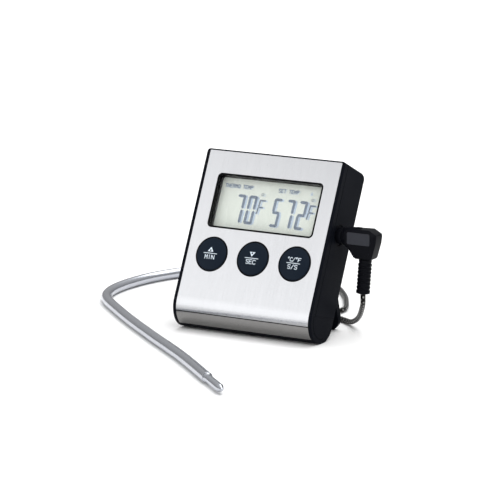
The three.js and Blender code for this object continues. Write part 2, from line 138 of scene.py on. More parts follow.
def angle(name, description, degrees):
    return bpy.props.FloatProperty(
        name=name, description=description, default=math.radians(degrees), min=0, max=math.pi,
        subtype="ANGLE", unit="ROTATION")


def tint(name, description, code):
    return bpy.props.FloatVectorProperty(
        name=name, description=description, default=linear(code)[:3], size=3, min=0, max=1, subtype="COLOR")


class ThermometerCase(bpy.types.PropertyGroup):
    depth: length("Depth", "Depth of the case", 19.0)
    width: length("Width", "Width of the case", 66.0)
    wall: length("Wall", "Wall of the moulded shells", 1.6)
    corner: length("Top corner", "Radius of the case's top corners", 1.4)
    back_corner: length("Back corner", "Radius of the case's upright back edges", 0.6)
    shoulder: length("Shoulder", "Radius of the case's top edge at the back", 4.2)
    lip: length("Lip", "Depth of the black frame round the steel", 2.6)
    steel_width: length("Steel width", "Width of the steel skin", 63.0)
    steel_top: length("Steel top", "Top of the steel skin above the middle of the rounded bottom", 64.6)
    steel_sheet: length("Sheet", "Thickness of the steel skin", 0.5)
    steel_end: angle("Curl", "How far the steel curls round the bottom", 72.0)
    # Below the fold the steel's base colour is a painted reflection of the floor.
    fold: angle("Fold", "Where the steel's rolled part starts round the bottom", 31.5)


class ThermometerDisplay(bpy.types.PropertyGroup):
    half: length("Half width", "Half the window's width", 25.26)
    low: length("Sill", "Height of the window's lower edge", 31.6)
    high: length("Head", "Height of the window's upper edge", 55.2)
    corner: length("Corner", "Radius of the window's corners", 2.0)
    digit_low: length("Digit foot", "Height of the digits' lower edge", 35.3)
    digit_high: length("Digit head", "Height of the digits' upper edge", 47.7)
    stroke: length("Segment", "Width of one segment", 1.2)
    rim: length("Rim", "Width of the black rim round the window", 0.8)


class ThermometerButtons(bpy.types.PropertyGroup):
    radius: length("Radius", "Radius of a button", 6.95)
    ring: length("Ring", "Outer radius of the black ring round a button", 7.5)
    height: length("Row", "Height of the button row", 20.2)
    spacing: length("Spacing", "Distance between buttons", 19.8)
    dome: length("Dome", "How far a button's crown stands out", 1.5)


class ThermometerCable(bpy.types.PropertyGroup):
    radius: length("Radius", "Radius of the braided cable", 1.1)
    real_length: length("Length", "Real length of the cable", 1000.0)
    turns: bpy.props.IntProperty(
        name="Turns", description="Turns in each of the ring's two layers", default=5, min=1, subtype="UNSIGNED")
    ring: length("Ring", "Radius at the middle of the wound ring", 12.2)
    probe_radius: length("Probe", "Radius of the probe's tube", 2.25)


class ThermometerColours(bpy.types.PropertyGroup):
    steel: tint("Steel", "Brushed stainless steel", "#CFD0D3")
    # Painted reflection of the floor, used as the steel's base colour below the fold.
    painted_floor_reflection: tint("Painted floor reflection", "Painted floor reflection on the steel below the fold", "#868584")
    probe: tint("Probe", "Polished stainless tube", "#B9BCC3")
    braid: tint("Braid", "Stainless wire braid", "#8C8B89")
    black: tint("Case", "Black moulded ABS", "#101218")
    lead: tint("Plug", "Black soft PVC", "#0C0D12")
    navy: tint("Buttons", "Navy silicone rubber", "#121C28")
    print_ink: tint("Print", "White printing ink", "#DCE8F2")
    glass: tint("Display", "Reflective display glass", "#D8DED5")
    segment: tint("Segments", "Dark display segments", "#5C6C82")
    shadow: tint("Shadows", "Shadows under the segments", "#B2C3D6")


class ThermometerStage(bpy.types.PropertyGroup):
    azimuth: angle("Azimuth", "The camera's angle round the object", 30.48)
    elevation: angle("Elevation", "The camera's angle above the table", 11.75)
    distance: length("Distance", "The camera's distance", 1321.0)
    lens: bpy.props.FloatProperty(
        name="Lens", description="The camera's focal length", default=230.4, min=1, unit="CAMERA")
    floor: tint("Floor", "Pale floor", "#F6F6F6")


def settings(group):
    """A group's settings as plain values: lengths in millimetres, angles in degrees and linear colours."""
    values = getattr(bpy.context.scene, "thermometer_" + group)
    plain = {}
    for key in type(values).__annotations__:
        value, kind = getattr(values, key), values.bl_rna.properties[key]
        if kind.subtype == "COLOR":
            value = (*value, 1.0)
        elif kind.unit == "LENGTH":
            value = round(value / MM, 4)
        elif kind.unit == "ROTATION":
            value = round(math.degrees(value), 4)
        plain[key] = value
    return SimpleNamespace(**plain)


# ---------------------------------------------------------------------------
# Solids
# ---------------------------------------------------------------------------

def new_object(name, bm):
    bmesh.ops.recalc_face_normals(bm, faces=bm.faces)
    mesh = bpy.data.meshes.new(name)
    bm.to_mesh(mesh)
    bm.free()
    obj = bpy.data.objects.new(name, mesh)
    bpy.context.scene.collection.objects.link(obj)
    return obj


def prism(name, points, low, high, axes):
    """Extrudes a flat outline. axes says which of X, Y and Z the outline's two numbers and the depth are."""
    bm = bmesh.new()
    rings = []
    for depth in (low, high):
        ring = []
        for p in points:
            co = [0.0, 0.0, 0.0]
            for axis, value in zip(axes, (p[0], p[1], depth)):
                co["XYZ".index(axis)] = value
            ring.append(bm.verts.new(co))
        rings.append(ring)
    bm.faces.new(rings[0])
    bm.faces.new(list(reversed(rings[1])))
    for i in range(len(points)):
        j = (i + 1) % len(points)
        bm.faces.new((rings[0][i], rings[1][i], rings[1][j], rings[0][j]))
    return new_object(name, bm)


def block(x, y, z):
    return prism("block", [(x[0], y[0]), (x[1], y[0]), (x[1], y[1]), (x[0], y[1])], z[0], z[1], "XYZ")


def circle(a, b, radius, sides):
    turn = 2 * math.pi / sides
    return [(a + radius * math.cos(i * turn), b + radius * math.sin(i * turn)) for i in range(sides)]


def rod(a, b, radius, low, high, axes, sides=48):
    return prism("rod", circle(a, b, radius, sides), low, high, axes)


def rounded(x0, x1, y0, y1, radii, steps=6):
    """A rectangle whose corners, from lower left and anticlockwise, have their own radii."""
    points = []
    corners = [(x0, y0, 1, 1, 180), (x1, y0, -1, 1, 270), (x1, y1, -1, -1, 0), (x0, y1, 1, -1, 90)]
    for (x, y, sx, sy, start), r in zip(corners, radii):
        if r <= 0:
            points.append((x, y))
            continue
        for i in range(steps + 1):
            a = math.radians(start + 90 * i / steps)
            points.append((x + sx * r + r * math.cos(a), y + sy * r + r * math.sin(a)))
    return points


def turned(name, profile, sides=48):
    """Turns a profile of (radius, height) points round Z into a closed solid."""
    bm = bmesh.new()
    rings = []
    for r, z in profile:
        if r < 1e-6:
            rings.append([bm.verts.new((0, 0, z))])
        else:
            rings.append([bm.verts.new((x, y, z)) for x, y in circle(0, 0, r, sides)])
    for a, b in zip(rings, rings[1:]):
        for i in range(sides):
            j = (i + 1) % sides
            corners = [a[i % len(a)], a[j % len(a)], b[j % len(b)], b[i % len(b)]]
            face = list(dict.fromkeys(corners))
            if len(face) > 2:
                bm.faces.new(face)
    return new_object(name, bm)


def applied(obj):
    """Replaces an object's mesh with what its modifiers make of it."""
    bpy.context.view_layer.update()
    depsgraph = bpy.context.evaluated_depsgraph_get()
    mesh = bpy.data.meshes.new_from_object(obj.evaluated_get(depsgraph))
    old = obj.data
    obj.modifiers.clear()
    obj.data = mesh
    bpy.data.meshes.remove(old)
    return obj


def combine(obj, operation, tools):
    for tool in tools:
        modifier = obj.modifiers.new("cut", "BOOLEAN")
        modifier.operation = operation
        modifier.solver = "EXACT"
        modifier.object = tool
        applied(obj)
        bpy.data.objects.remove(tool, do_unlink=True)
    return obj


def cut(obj, *tools):
    return combine(obj, "DIFFERENCE", tools)


def keep(obj, *tools):
    return combine(obj, "INTERSECT", tools)


def join(obj, *tools):
    return combine(obj, "UNION", tools)


def soften(obj, width, segments=3, angle=38):
    modifier = obj.modifiers.new("edge", "BEVEL")
    modifier.width = width
    modifier.segments = segments
    modifier.limit_method = "ANGLE"
    modifier.angle_limit = math.radians(angle)
    modifier.miter_outer = "MITER_ARC"
    modifier.harden_normals = True
    for polygon in obj.data.polygons:
        polygon.use_smooth = True
    return applied(obj)


def smooth(obj, angle=35):
    for polygon in obj.data.polygons:
        polygon.use_smooth = True
    obj.data.set_sharp_from_angle(angle=math.radians(angle))
    return obj


def place(obj, name, matrix, material, body, node=None):
    """Names a finished piece, puts it in metres, gives it a finish and fixes it to its CAD body."""
    obj.name = name
    obj.data.name = name
    obj.data.transform(matrix)
    obj.data.update()
    obj.data.materials.clear()
    obj.data.materials.append(material)
    if node:
        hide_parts(*([node] if isinstance(node, str) else node))
    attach(obj, body)
    return obj


# ---------------------------------------------------------------------------
# Finishes
# ---------------------------------------------------------------------------

def per_metre(millimetres):
    """The texture scale whose features are this many millimetres apart."""
    return 1.0 / (millimetres * MM)


def add(tree, kind, values=None, links=None, feeds=None, **settings_):
    """Adds a node with its settings, its input values, what it is fed by and what it feeds."""
    node = tree.nodes.new(kind)
    for key, value in settings_.items():
        setattr(node, key, value)
    for key, value in (values or {}).items():
        node.inputs[key].default_value = value
    for key, source in (links or {}).items():
        tree.links.new(source, node.inputs[key])
    for key, target in (feeds or {}).items():
        tree.links.new(node.outputs[key], target)
    return node


def finish(name, base, **values):
    """A new material with its shader and the object's own coordinates."""
    material = bpy.data.materials.new(name)
    material.use_nodes = True
    tree = material.node_tree
    tree.nodes.clear()
    shader = add(tree, "ShaderNodeBsdfPrincipled", {"Base Color": base, **values})
    add(tree, "ShaderNodeOutputMaterial", links={"Surface": shader.outputs["BSDF"]})
    where = add(tree, "ShaderNodeTexCoord").outputs["Object"]
    return material, shader, where


def unevenness(shader, where, scale, detail, roughness=None, colours=None, relief=None):
    """A random pattern that may vary the roughness, blend two colours, and raise a relief (strength, millimetres)."""
    tree = shader.id_data
    pattern = add(tree, "ShaderNodeTexNoise", {"Scale": scale, "Detail": detail, "Roughness": 0.55},
                  {"Vector": where}).outputs["Fac"]
    if roughness:
        add(tree, "ShaderNodeMapRange", {"From Min": 0.3, "From Max": 0.7, "To Min": roughness[0],
                                         "To Max": roughness[1]},
            {"Value": pattern}, {"Result": shader.inputs["Roughness"]})
    if colours:
        add(tree, "ShaderNodeMix", {6: colours[0], 7: colours[1]}, {0: pattern}, {2: shader.inputs["Base Color"]},
            data_type="RGBA")
    if relief:
        add(tree, "ShaderNodeBump", {"Strength": relief[0], "Distance": relief[1] * MM}, {"Height": pattern},
            {"Normal": shader.inputs["Normal"]})
    return pattern


def brushed_stainless_steel(colours):
    # Straight brushing down the face: reflections stay crisp up and down and spread sideways.
    # Below the fold the base colour turns to a darker grey with a fine grain: a painted reflection of the floor.
    material, shader, where = finish(
        "brushed_stainless_steel", colours.steel, Metallic=1.0, Roughness=0.24)
    tree = material.node_tree
    upright = add(tree, "ShaderNodeMapping", {"Rotation": (LEAN, 0, 0)}, {"Vector": where}).outputs["Vector"]
    streaks, clouds = [
        add(tree, "ShaderNodeMapping", {"Scale": [per_metre(size) for size in sizes]},
            {"Vector": upright}).outputs["Vector"]
        for sizes in ((0.16, 4, 9), (2.5, 20, 30))]     # across, into and down the face, in millimetres
    fine = unevenness(shader, streaks, 1.0, 4.0, roughness=(0.2, 0.28), relief=(0.10, 0.02))
    broad = unevenness(shader, clouds, 1.0, 2.0)
    brushed = add(tree, "ShaderNodeMix", {6: darker(colours.steel, 0.96), 7: colours.steel}, {0: broad},
                  data_type="RGBA").outputs[2]
    # Painted reflection of the floor: the base colour below the fold, with a fine grain.
    painted_floor_reflection = add(tree, "ShaderNodeMix", {6: darker(colours.painted_floor_reflection, 0.88), 7: colours.painted_floor_reflection}, {0: fine},
                    data_type="RGBA").outputs[2]

    # The fold's height, then how far above it the base colour turns from the painted floor reflection to the steel,
    # darkens just above the fold as painted shade, and keeps a painted highlight band before the face above is dimmed.
    case = settings("case")
    fold = FACE.z - case.depth / 2 * math.sin(math.radians(case.fold))
    height = add(tree, "ShaderNodeSeparateXYZ", links={"Vector": upright}).outputs["Z"]
    upper, painted_shade_above_fold, painted_highlight_falloff = [
        add(tree, "ShaderNodeMapRange", {"From Min": (fold + start) * MM, "From Max": (fold + end) * MM,
                                         "To Min": low, "To Max": high}, {"Value": height}).outputs["Result"]
        for start, end, low, high in ((-0.1, 0, 0, 1), (0, 2.4, 0.42, 1), (3.0, 6.5, 1, 0.86))]
    # Painted shade just above the fold and a painted highlight band, multiplied into the brushed steel's colour.
    painted_shade_and_highlight = add(tree, "ShaderNodeMath", links={0: painted_shade_above_fold, 1: painted_highlight_falloff}, operation="MULTIPLY").outputs[0]
    # The brushed steel above the fold with the painted shade and painted highlight band in its colour.
    rolled = add(tree, "ShaderNodeMix", {0: 1.0}, {6: brushed, 7: painted_shade_and_highlight}, data_type="RGBA",
                 blend_type="MULTIPLY").outputs[2]
    add(tree, "ShaderNodeMix", links={0: upper, 6: painted_floor_reflection, 7: rolled}, feeds={2: shader.inputs["Base Color"]},
        data_type="RGBA")
    return material


def polished_stainless_tube(colours):
    # Drawn and polished tube: clear reflections with faint marks along and round it.
    material, shader, where = finish("polished_stainless_tube", colours.probe, Metallic=1.0, Roughness=0.2)
    unevenness(shader, where, per_metre(1.2), 4.0, roughness=(0.19, 0.23))
    unevenness(shader, where, per_metre(0.25), 2.0, relief=(0.02, 0.01))
    return material


def braided_steel_sleeve(colours):
    # Wires woven round the lead: bright where two slanting bundles cross, and darkened between them from the
    # weave's height as painted shade. The bundles are drawn 1.6 mm apart, three times their real spacing, so that they
    # show.
    material, shader, _ = finish("braided_steel_sleeve", colours.braid, Metallic=1.0, Roughness=0.35)
    tree = material.node_tree
    uv = add(tree, "ShaderNodeUVMap", uv_map="lead").outputs["UV"]
    bundles = 3
    spacing = 2 * math.pi * settings("cable").radius / bundles / math.sqrt(2)
    scale = 2 * math.pi / 20 / spacing          # the wave texture has a period of a twentieth of a turn
    ridges = []
    for slant in (1, -1):
        turned_uv = add(tree, "ShaderNodeMapping", {"Rotation": (0, 0, math.radians(45 * slant))}, {"Vector": uv})
        wave = add(tree, "ShaderNodeTexWave", {"Scale": scale, "Distortion": 0.6, "Detail": 1.0},
                   {"Vector": turned_uv.outputs["Vector"]}, bands_direction="X")
        ridges.append(wave.outputs["Fac"])
    height = add(tree, "ShaderNodeMath", links={0: ridges[0], 1: ridges[1]}, operation="MULTIPLY").outputs[0]
    # Painted shade: the weave's valleys are darkened in the base colour from the relief's height.
    lit = add(tree, "ShaderNodeMapRange", {"From Min": 0.3, "From Max": 0.85}, {"Value": height}).outputs["Result"]
    add(tree, "ShaderNodeMix", {6: darker(colours.braid, 0.03), 7: colours.braid}, {0: lit},
        {2: shader.inputs["Base Color"]}, data_type="RGBA")
    add(tree, "ShaderNodeBump", {"Strength": 0.8, "Distance": 0.15 * MM}, {"Height": height},
        {"Normal": shader.inputs["Normal"]})
    return material


def moulded_plastic(name, base, roughness, grain_mm, depth_mm, gloss=0.04):
    # Injection-moulded plastic from a spark-eroded tool: an even fine grain and a very soft sheen.
    material, shader, where = finish(
        name, base, **{"Roughness": roughness, "IOR": 1.53, "Specular IOR Level": gloss})
    unevenness(shader, where, per_metre(grain_mm), 3.0, colours=(darker(base, 0.86), base), relief=(0.35, depth_mm))
    unevenness(shader, where, per_metre(14), 2.0, roughness=(roughness - 0.05, roughness + 0.06))
    return material


def moulded_silicone(colours):
    # Compression-moulded silicone key: soft, slightly dusty sheen and almost no texture.
    material, shader, where = finish("moulded_silicone_rubber", colours.navy, **{
        "Roughness": 0.46, "IOR": 1.43, "Specular IOR Level": 0.1})
    unevenness(shader, where, per_metre(0.35), 3.0, colours=(darker(colours.navy, 0.85), colours.navy),
               relief=(0.25, 0.02))
    unevenness(shader, where, per_metre(5), 2.0, roughness=(0.4, 0.52))
    return material


def printed_ink(name, base, speckle=0.85):
    # Pad-printed ink: a flat matt film with a slightly uneven edge-to-edge tone.
    material, shader, where = finish(name, base, Roughness=0.55)
    unevenness(shader, where, per_metre(0.4), 2.0, colours=(darker(base, speckle), base))
    return material


def display_glass(colours):
    # Reflective liquid-crystal cell: polished glass over a grey-green reflector with a fine sparkle.
    material, shader, where = finish("reflective_display_glass", colours.glass, Roughness=0.3, IOR=1.5)
    tree = material.node_tree
    sparkle = unevenness(shader, where, per_metre(0.12), 2.0)
    cloudy = unevenness(shader, where, per_metre(22), 1.0, roughness=(0.22, 0.34))
    both = add(tree, "ShaderNodeMath", {1: 0.3}, {0: sparkle, 2: cloudy}, operation="MULTIPLY_ADD").outputs[0]
    tone = add(tree, "ShaderNodeMapRange", {"From Min": 0.4, "From Max": 0.9}, {"Value": both}).outputs["Result"]
    add(tree, "ShaderNodeMix", {6: darker(colours.glass, 0.93), 7: colours.glass}, {0: tone},
        {2: shader.inputs["Base Color"]}, data_type="RGBA")
    return material


def cast_acrylic():
    # Clear cast acrylic window: almost invisible, with a gloss face.
    material, shader, where = finish(
        "clear_cast_acrylic", linear("#F4F8F8"), Roughness=0.03, IOR=1.49, Alpha=0.06)
    unevenness(shader, where, per_metre(9), 2.0, roughness=(0.02, 0.07))
    return material


def plated_steel():
    # Nickel-plated steel: bright, with faint drawing marks.
    material, shader, where = finish("nickel_plated_steel", linear("#B9B7B0"), Metallic=1.0, Roughness=0.26)
    unevenness(shader, where, per_metre(0.5), 3.0, roughness=(0.18, 0.34), relief=(0.15, 0.02))
    return material


def laminate():
    # Glass-fibre circuit board under green solder mask: a woven ghost beneath a gloss coat.
    mask = linear("#1F5A38")
    material, shader, where = finish("fibreglass_board_laminate", mask, Roughness=0.35)
    tree = material.node_tree
    weave = add(tree, "ShaderNodeTexBrick", {"Scale": per_metre(2.4), "Color1": mask, "Color2": darker(mask, 0.8),
                                             "Mortar": darker(mask, 0.55), "Mortar Size": 0.06},
                {"Vector": where}, {"Color": shader.inputs["Base Color"]})
    add(tree, "ShaderNodeBump", {"Strength": 0.2, "Distance": 0.03 * MM}, {"Height": weave.outputs["Fac"]},
        {"Normal": shader.inputs["Normal"]})
    return material


def battery_film():
    # Printed film shrunk on a steel can: a blue body with a pale band at one end.
    body = linear("#2C5C93")
    material, shader, where = finish("printed_battery_film", body, Roughness=0.28)
    tree = material.node_tree
    across = add(tree, "ShaderNodeSeparateXYZ", links={"Vector": where}).outputs["X"]
    band = add(tree, "ShaderNodeMapRange", {"From Min": 12.5 * MM, "From Max": 12.7 * MM},
               {"Value": across}).outputs["Result"]
    add(tree, "ShaderNodeMix", {6: body, 7: linear("#D8C27A")}, {0: band}, {2: shader.inputs["Base Color"]},
        data_type="RGBA")
    unevenness(shader, where, per_metre(2.5), 3.0, relief=(0.15, 0.05))
    return material


class Finishes:
    """Every material, made once."""

    def __init__(self):
        colours = settings("colours")
        # The plastics give their roughness, their grain and its depth in millimetres, and their gloss.
        self.steel = brushed_stainless_steel(colours)
        self.probe = polished_stainless_tube(colours)
        self.braid = braided_steel_sleeve(colours)
        self.abs = moulded_plastic("black_moulded_abs", colours.black, 0.42, 0.22, 0.02, 0.01)
        self.pvc = moulded_plastic("black_soft_pvc", colours.lead, 0.38, 0.5, 0.03, 0.035)
        self.label = moulded_plastic("polished_pvc_panel", linear("#20222B"), 0.3, 0.8, 0.01, 0.25)
        self.rim = moulded_plastic("black_gloss_abs_rim", linear("#07080A"), 0.3, 0.6, 0.01, 0.06)
        self.resin = moulded_plastic("black_epoxy_resin", linear("#1B1B1B"), 0.6, 0.3, 0.03)
        self.strip = moulded_plastic("conductive_silicone_strip", linear("#2A2A2C"), 0.7, 0.4, 0.03)
        self.nylon = moulded_plastic("white_moulded_nylon", linear("#E4E3DE"), 0.45, 0.6, 0.03)
        self.silicone = moulded_silicone(colours)
        self.ink = printed_ink("white_pad_print", colours.print_ink)
        self.glass = display_glass(colours)
        self.segment = printed_ink("display_segment", colours.segment, 0.9)
        self.shadow = printed_ink("display_segment_shadow", colours.shadow, 0.94)
        self.acrylic = cast_acrylic()
        self.plated = plated_steel()
        self.laminate = laminate()
        self.film = battery_film()


made = {}


def finishes():
    if "finishes" not in made:
        made["finishes"] = Finishes()
    return made["finishes"]


# ---------------------------------------------------------------------------
# The case's shape
# ---------------------------------------------------------------------------

STRIP_ANGLE = 90 + math.degrees(LEAN)      # the flat strip looks straight down at the table
STRIP_HALF = 9.1                           # half the strip's angle, in degrees
ACROSS = (-40, 40)                         # past both sides of the case
ALONG = (-20, 80)                          # past its foot and its top


def bottom_arc(radius, middle, start, end, step=3.0):
    """Points of the rounded bottom, from the front at 0 degrees to the back at 180, with its flat strip."""
    stops = [start + i * step for i in range(int((end - start) / step) + 1)]
    stops = [a for a in stops if not STRIP_ANGLE - STRIP_HALF < a < STRIP_ANGLE + STRIP_HALF]
    edges = [a for a in (STRIP_ANGLE - STRIP_HALF, STRIP_ANGLE + STRIP_HALF, end) if start < a <= end]
    angles = sorted(set(stops + edges))
    return [(middle - radius * math.cos(math.radians(a)), -radius * math.sin(math.radians(a))) for a in angles]


def case_outline(inset):
    """The case seen from the side, as (depth, height) points, shrunk by a wall."""
    case = settings("case")
    middle, shoulder = case.depth / 2, case.shoulder
    back, top = case.depth - inset, CASE_TOP - inset
    corner = [(back - shoulder + shoulder * math.cos(math.radians(a)),
               top - shoulder + shoulder * math.sin(math.radians(a))) for a in range(0, 91, 10)]
    return bottom_arc(middle - inset, middle, 0, 180) + corner + [(inset, top)]


def case_solid():
    """The whole case as one rounded solid."""
    case = settings("case")
    half = case.width / 2
    body = prism("case", case_outline(0), -half, half, "YZX")
    face = prism("face", rounded(-half, half, -12, CASE_TOP, (0, 0, case.corner, case.corner)), -1, 30, "XZY")
    plan = prism("plan", rounded(-half, half, -1, case.depth, (0, 0, case.back_corner, case.back_corner)),
                 *ALONG, "XYZ")
    return keep(body, face, plan)


def cavity(inset):
    """The hollow inside the case, a wall away from its outline."""
    half = settings("case").width / 2 - 1.5
    return prism("cavity", case_outline(inset), -half, half, "YZX")


def wedge(angle, depth, top, half):
    """The part of the case in front of a line from the middle of the rounded bottom."""
    middle = settings("case").depth / 2
    reach = 30                             # well outside the case
    turn = math.radians(angle)
    return prism("wedge", [
        (middle, 0), (depth, 0), (depth, top), (-5, top), (-5, -8),
        (middle - reach * math.cos(math.radians(45)), -reach * math.sin(math.radians(45))),
        (middle - reach * math.cos(turn), -reach * math.sin(turn)),
    ], -half, half, "YZX")


SPLIT_DEPTH, SPLIT_START, SPLIT_RISE = 3.9, 0.5, 0.155     # where the door's parting line starts, and its slope


def split_height(depth):
    """Height of the parting line between the case and the battery door."""
    return SPLIT_START + SPLIT_RISE * (depth - SPLIT_DEPTH)


def below_split(offset):
    """All that is under the parting line."""
    return prism("below", [(-5, split_height(-5) + offset), (-5, -20), (30, -20), (30, split_height(30) + offset)],
                 *ACROSS, "YZX")


def window(grow, low, high):
    """The window's outline, grown all round, from one depth to another."""
    d = settings("display")
    r = d.corner + grow
    return prism("window", rounded(-d.half - grow, d.half + grow, d.low - grow, d.high + grow, (r, r, r, r), 8),
                 low, high, "XZY")


def button_holes(grow, low, high):
    """Three rods where the buttons are, grown all round."""
    b = settings("buttons")
    return [rod(k * b.spacing, b.height, b.radius + grow, low, high, "XZY", 72) for k in (-1, 0, 1)]


# Each case screw with its place across and up the case.
SCREWS = [("upper_left", -28.6, 60.8), ("upper_right", 28.6, 60.8),
          ("lower_left", -22, 9.2), ("lower_right", 22, 9.2)]


# ---------------------------------------------------------------------------
# Prints and display marks
# ---------------------------------------------------------------------------

# Letters as strokes in a box one wide and one tall.
STROKES = {
    "M": [[(0, 0), (0, 1), (0.5, 0.4), (1, 1), (1, 0)]],
    "I": [[(0.5, 0), (0.5, 1)]],
    "N": [[(0, 0), (0, 1), (1, 0), (1, 1)]],
    "S": [[(1, 0.86), (0.75, 1), (0.25, 1), (0, 0.8), (0.12, 0.58), (0.88, 0.42), (1, 0.2), (0.75, 0), (0.25, 0),
           (0, 0.14)]],
    "E": [[(1, 1), (0, 1), (0, 0), (1, 0)], [(0, 0.52), (0.8, 0.52)]],
    "C": [[(1, 0.84), (0.75, 1), (0.3, 1), (0, 0.72), (0, 0.28), (0.3, 0), (0.75, 0), (1, 0.16)]],
    "F": [[(1, 1), (0, 1), (0, 0)], [(0, 0.52), (0.8, 0.52)]],
    "T": [[(0, 1), (1, 1)], [(0.5, 1), (0.5, 0)]],
    "H": [[(0, 0), (0, 1)], [(1, 0), (1, 1)], [(0, 0.5), (1, 0.5)]],
    "R": [[(0, 0), (0, 1), (0.8, 1), (1, 0.75), (0.8, 0.5), (0, 0.5)], [(0.5, 0.5), (1, 0)]],
    "O": [[(0.25, 0), (0, 0.25), (0, 0.75), (0.25, 1), (0.75, 1), (1, 0.75), (1, 0.25), (0.75, 0), (0.25, 0)]],
    "P": [[(0, 0), (0, 1), (0.8, 1), (1, 0.75), (0.8, 0.5), (0, 0.5)]],
    " ": [],
    "/": [[(0.1, -0.05), (0.9, 1.05)]],
    "o": [[(0.3, 0.72), (0.55, 0.8), (0.62, 0.95), (0.5, 1.1), (0.3, 1.1), (0.18, 0.95), (0.3, 0.72)]],
}


def add_bar(bm, start, end, width, surface, thick=0.03, steps=6):
    """A thin printed bar between two points of the face, on a surface that gives the depth at each place."""
    a, b = Vector(start), Vector(end)
    along = (b - a).normalized()
    side = Vector((-along.y, along.x)) * width / 2
    a, b = a - along * width * 0.35, b + along * width * 0.35
    rows = []
    for i in range(steps + 1):
        p = a.lerp(b, i / steps)
        row = []
        for q in (p - side, p + side):
            depth = surface(q.x, q.y)
            row.append((bm.verts.new((q.x, depth - OFF - thick, q.y)), bm.verts.new((q.x, depth - OFF, q.y))))
        rows.append(row)
    for (l0, r0), (l1, r1) in zip(rows, rows[1:]):
        bm.faces.new((l0[0], r0[0], r1[0], l1[0]))
        bm.faces.new((l0[1], l1[1], r1[1], r0[1]))
        bm.faces.new((l0[0], l1[0], l1[1], l0[1]))
        bm.faces.new((r0[0], r0[1], r1[1], r1[0]))
    for row in (rows[0], rows[-1]):
        (l, r) = row
        bm.faces.new((l[0], l[1], r[1], r[0]))


def add_patch(bm, points, surface, thick=0.03):
    """A thin printed shape with the given corners."""
    upper = [bm.verts.new((x, surface(x, z) - OFF - thick, z)) for x, z in points]
    lower = [bm.verts.new((x, surface(x, z) - OFF, z)) for x, z in points]
    bm.faces.new(upper)
    bm.faces.new(list(reversed(lower)))
    for i in range(len(points)):
        j = (i + 1) % len(points)
        bm.faces.new((upper[i], lower[i], lower[j], upper[j]))


def add_word(bm, word, left, foot, tall, wide, pitch, width, surface):
    """A word of thin strokes, with its letters' height, width and distance."""
    for k, letter in enumerate(word):
        for stroke in STROKES[letter]:
            points = [(left + k * pitch + x * wide, foot + z * tall) for x, z in stroke]
            for a, b in zip(points, points[1:]):
                add_bar(bm, a, b, width, surface, steps=2)


# Which of the seven segments each figure lights: top, upper right, lower right, foot, lower left, upper left, middle.
FIGURES = {"0": "tuvwxy", "2": "tuzxw", "5": "tyzvw", "7": "tuv"}


def segment_shapes(figure, left, right, low, high, stroke, slant):
    """Corner lists of a seven-segment figure's lit segments."""
    middle = (low + high) / 2
    s, g = stroke, 0.12
    h = s / 2

    def lean(points):
        return [(x + (z - low) * slant, z) for x, z in points]

    upright = {
        "u": (right - h, middle, high), "v": (right - h, low, middle),
        "y": (left + h, middle, high), "x": (left + h, low, middle),
    }
    shapes = []
    for key in FIGURES[figure]:
        if key in upright:
            x, z0, z1 = upright[key]
            z0, z1 = z0 + g, z1 - g
            shapes.append(lean([(x - h, z0 + h), (x, z0), (x + h, z0 + h), (x + h, z1 - h), (x, z1), (x - h, z1 - h)]))
        else:
            z = {"t": high - h, "w": low + h, "z": middle}[key]
            shapes.append(lean([(left + g + h, z - h), (right - g - h, z - h), (right - g, z), (right - g - h, z + h),
                                (left + g + h, z + h), (left + g, z)]))
    return shapes


# ---------------------------------------------------------------------------
# Pieces
# ---------------------------------------------------------------------------

def make_front_cover():
    case = settings("case")
    half = case.steel_width / 2
    sheet = prism("sheet", case_outline(0), -half, half, "YZX")
    sheet = cut(sheet, prism("inner", case_outline(case.steel_sheet), -half - 1, half + 1, "YZX"))
    sheet = keep(sheet, wedge(case.steel_end, 3, case.steel_top, half + 2),
                 prism("corners", rounded(-half, half, -20, case.steel_top, (0, 0, 0.3, 0.3)), -5, 20, "XZY"))
    b = settings("buttons")
    cut(sheet, window(0, -2, 3), *button_holes(b.ring - b.radius + 0.06, -2, 3))
    turn = math.radians(case.fold)
    middle, radius = case.depth / 2, case.depth / 2
    # A groove across the steel at the fold, and a black strip in it that is a painted dark reflection line:
    # how far out of and into the rounded bottom each reaches, and half its width in radians.
    for name, outer, inner, wide in (("fold", 0.1, 0.4, 0.02), ("painted_reflection_line", -0.12, 0.38, 0.018)):
        corners = [(radius + outer, -wide), (radius + outer, wide), (radius - inner, wide), (radius - inner, -wide)]
        groove = prism(name, [(middle - r * math.cos(turn + a), -r * math.sin(turn + a)) for r, a in corners],
                       -half - 1, half + 1, "YZX")
        if name == "fold":
            cut(sheet, groove)
        else:
            # The black strip in the groove is a painted reflection line, not a part of the steel.
            keep(groove, block((-half + 0.1, half - 0.1), (-5, 20), (-20, 20)))
            place(groove, "steel_painted_reflection_line", AT_CASE, finishes().rim, "case", None)
    soften(sheet, 0.12, 2)
    place(sheet, "steel_front", AT_CASE, finishes().steel, "case", "front_cover")


def make_front_case():
    case = settings("case")
    half = case.steel_width / 2
    body = keep(case_solid(), block(ACROSS, (-1, case.lip), ALONG))
    cut(body, below_split(0.0))
    cut(body, block((-half - 0.12, half + 0.12), (-1, case.steel_sheet + 0.15), (-5, case.steel_top + 0.12)),
        block((-30.5, 30.5), (2.3, 4), (2, CASE_TOP - 2)))
    ring = settings("buttons").ring - settings("buttons").radius
    cut(body, window(-0.05, -2, 4), *button_holes(ring + 0.03, -2, 4))
    curl = prism("curl", case_outline(case.steel_sheet + GAP), -half + GAP, half - GAP, "YZX")
    cut(curl, prism("inner", case_outline(2.3), -half - 1, half + 1, "YZX"))
    keep(curl, wedge(case.steel_end - 2, 2.3, 1.5, half + 1))
    join(body, curl)
    soften(body, 0.22, 3)
    place(body, "front_frame", AT_CASE, finishes().abs, "case", "front_case")


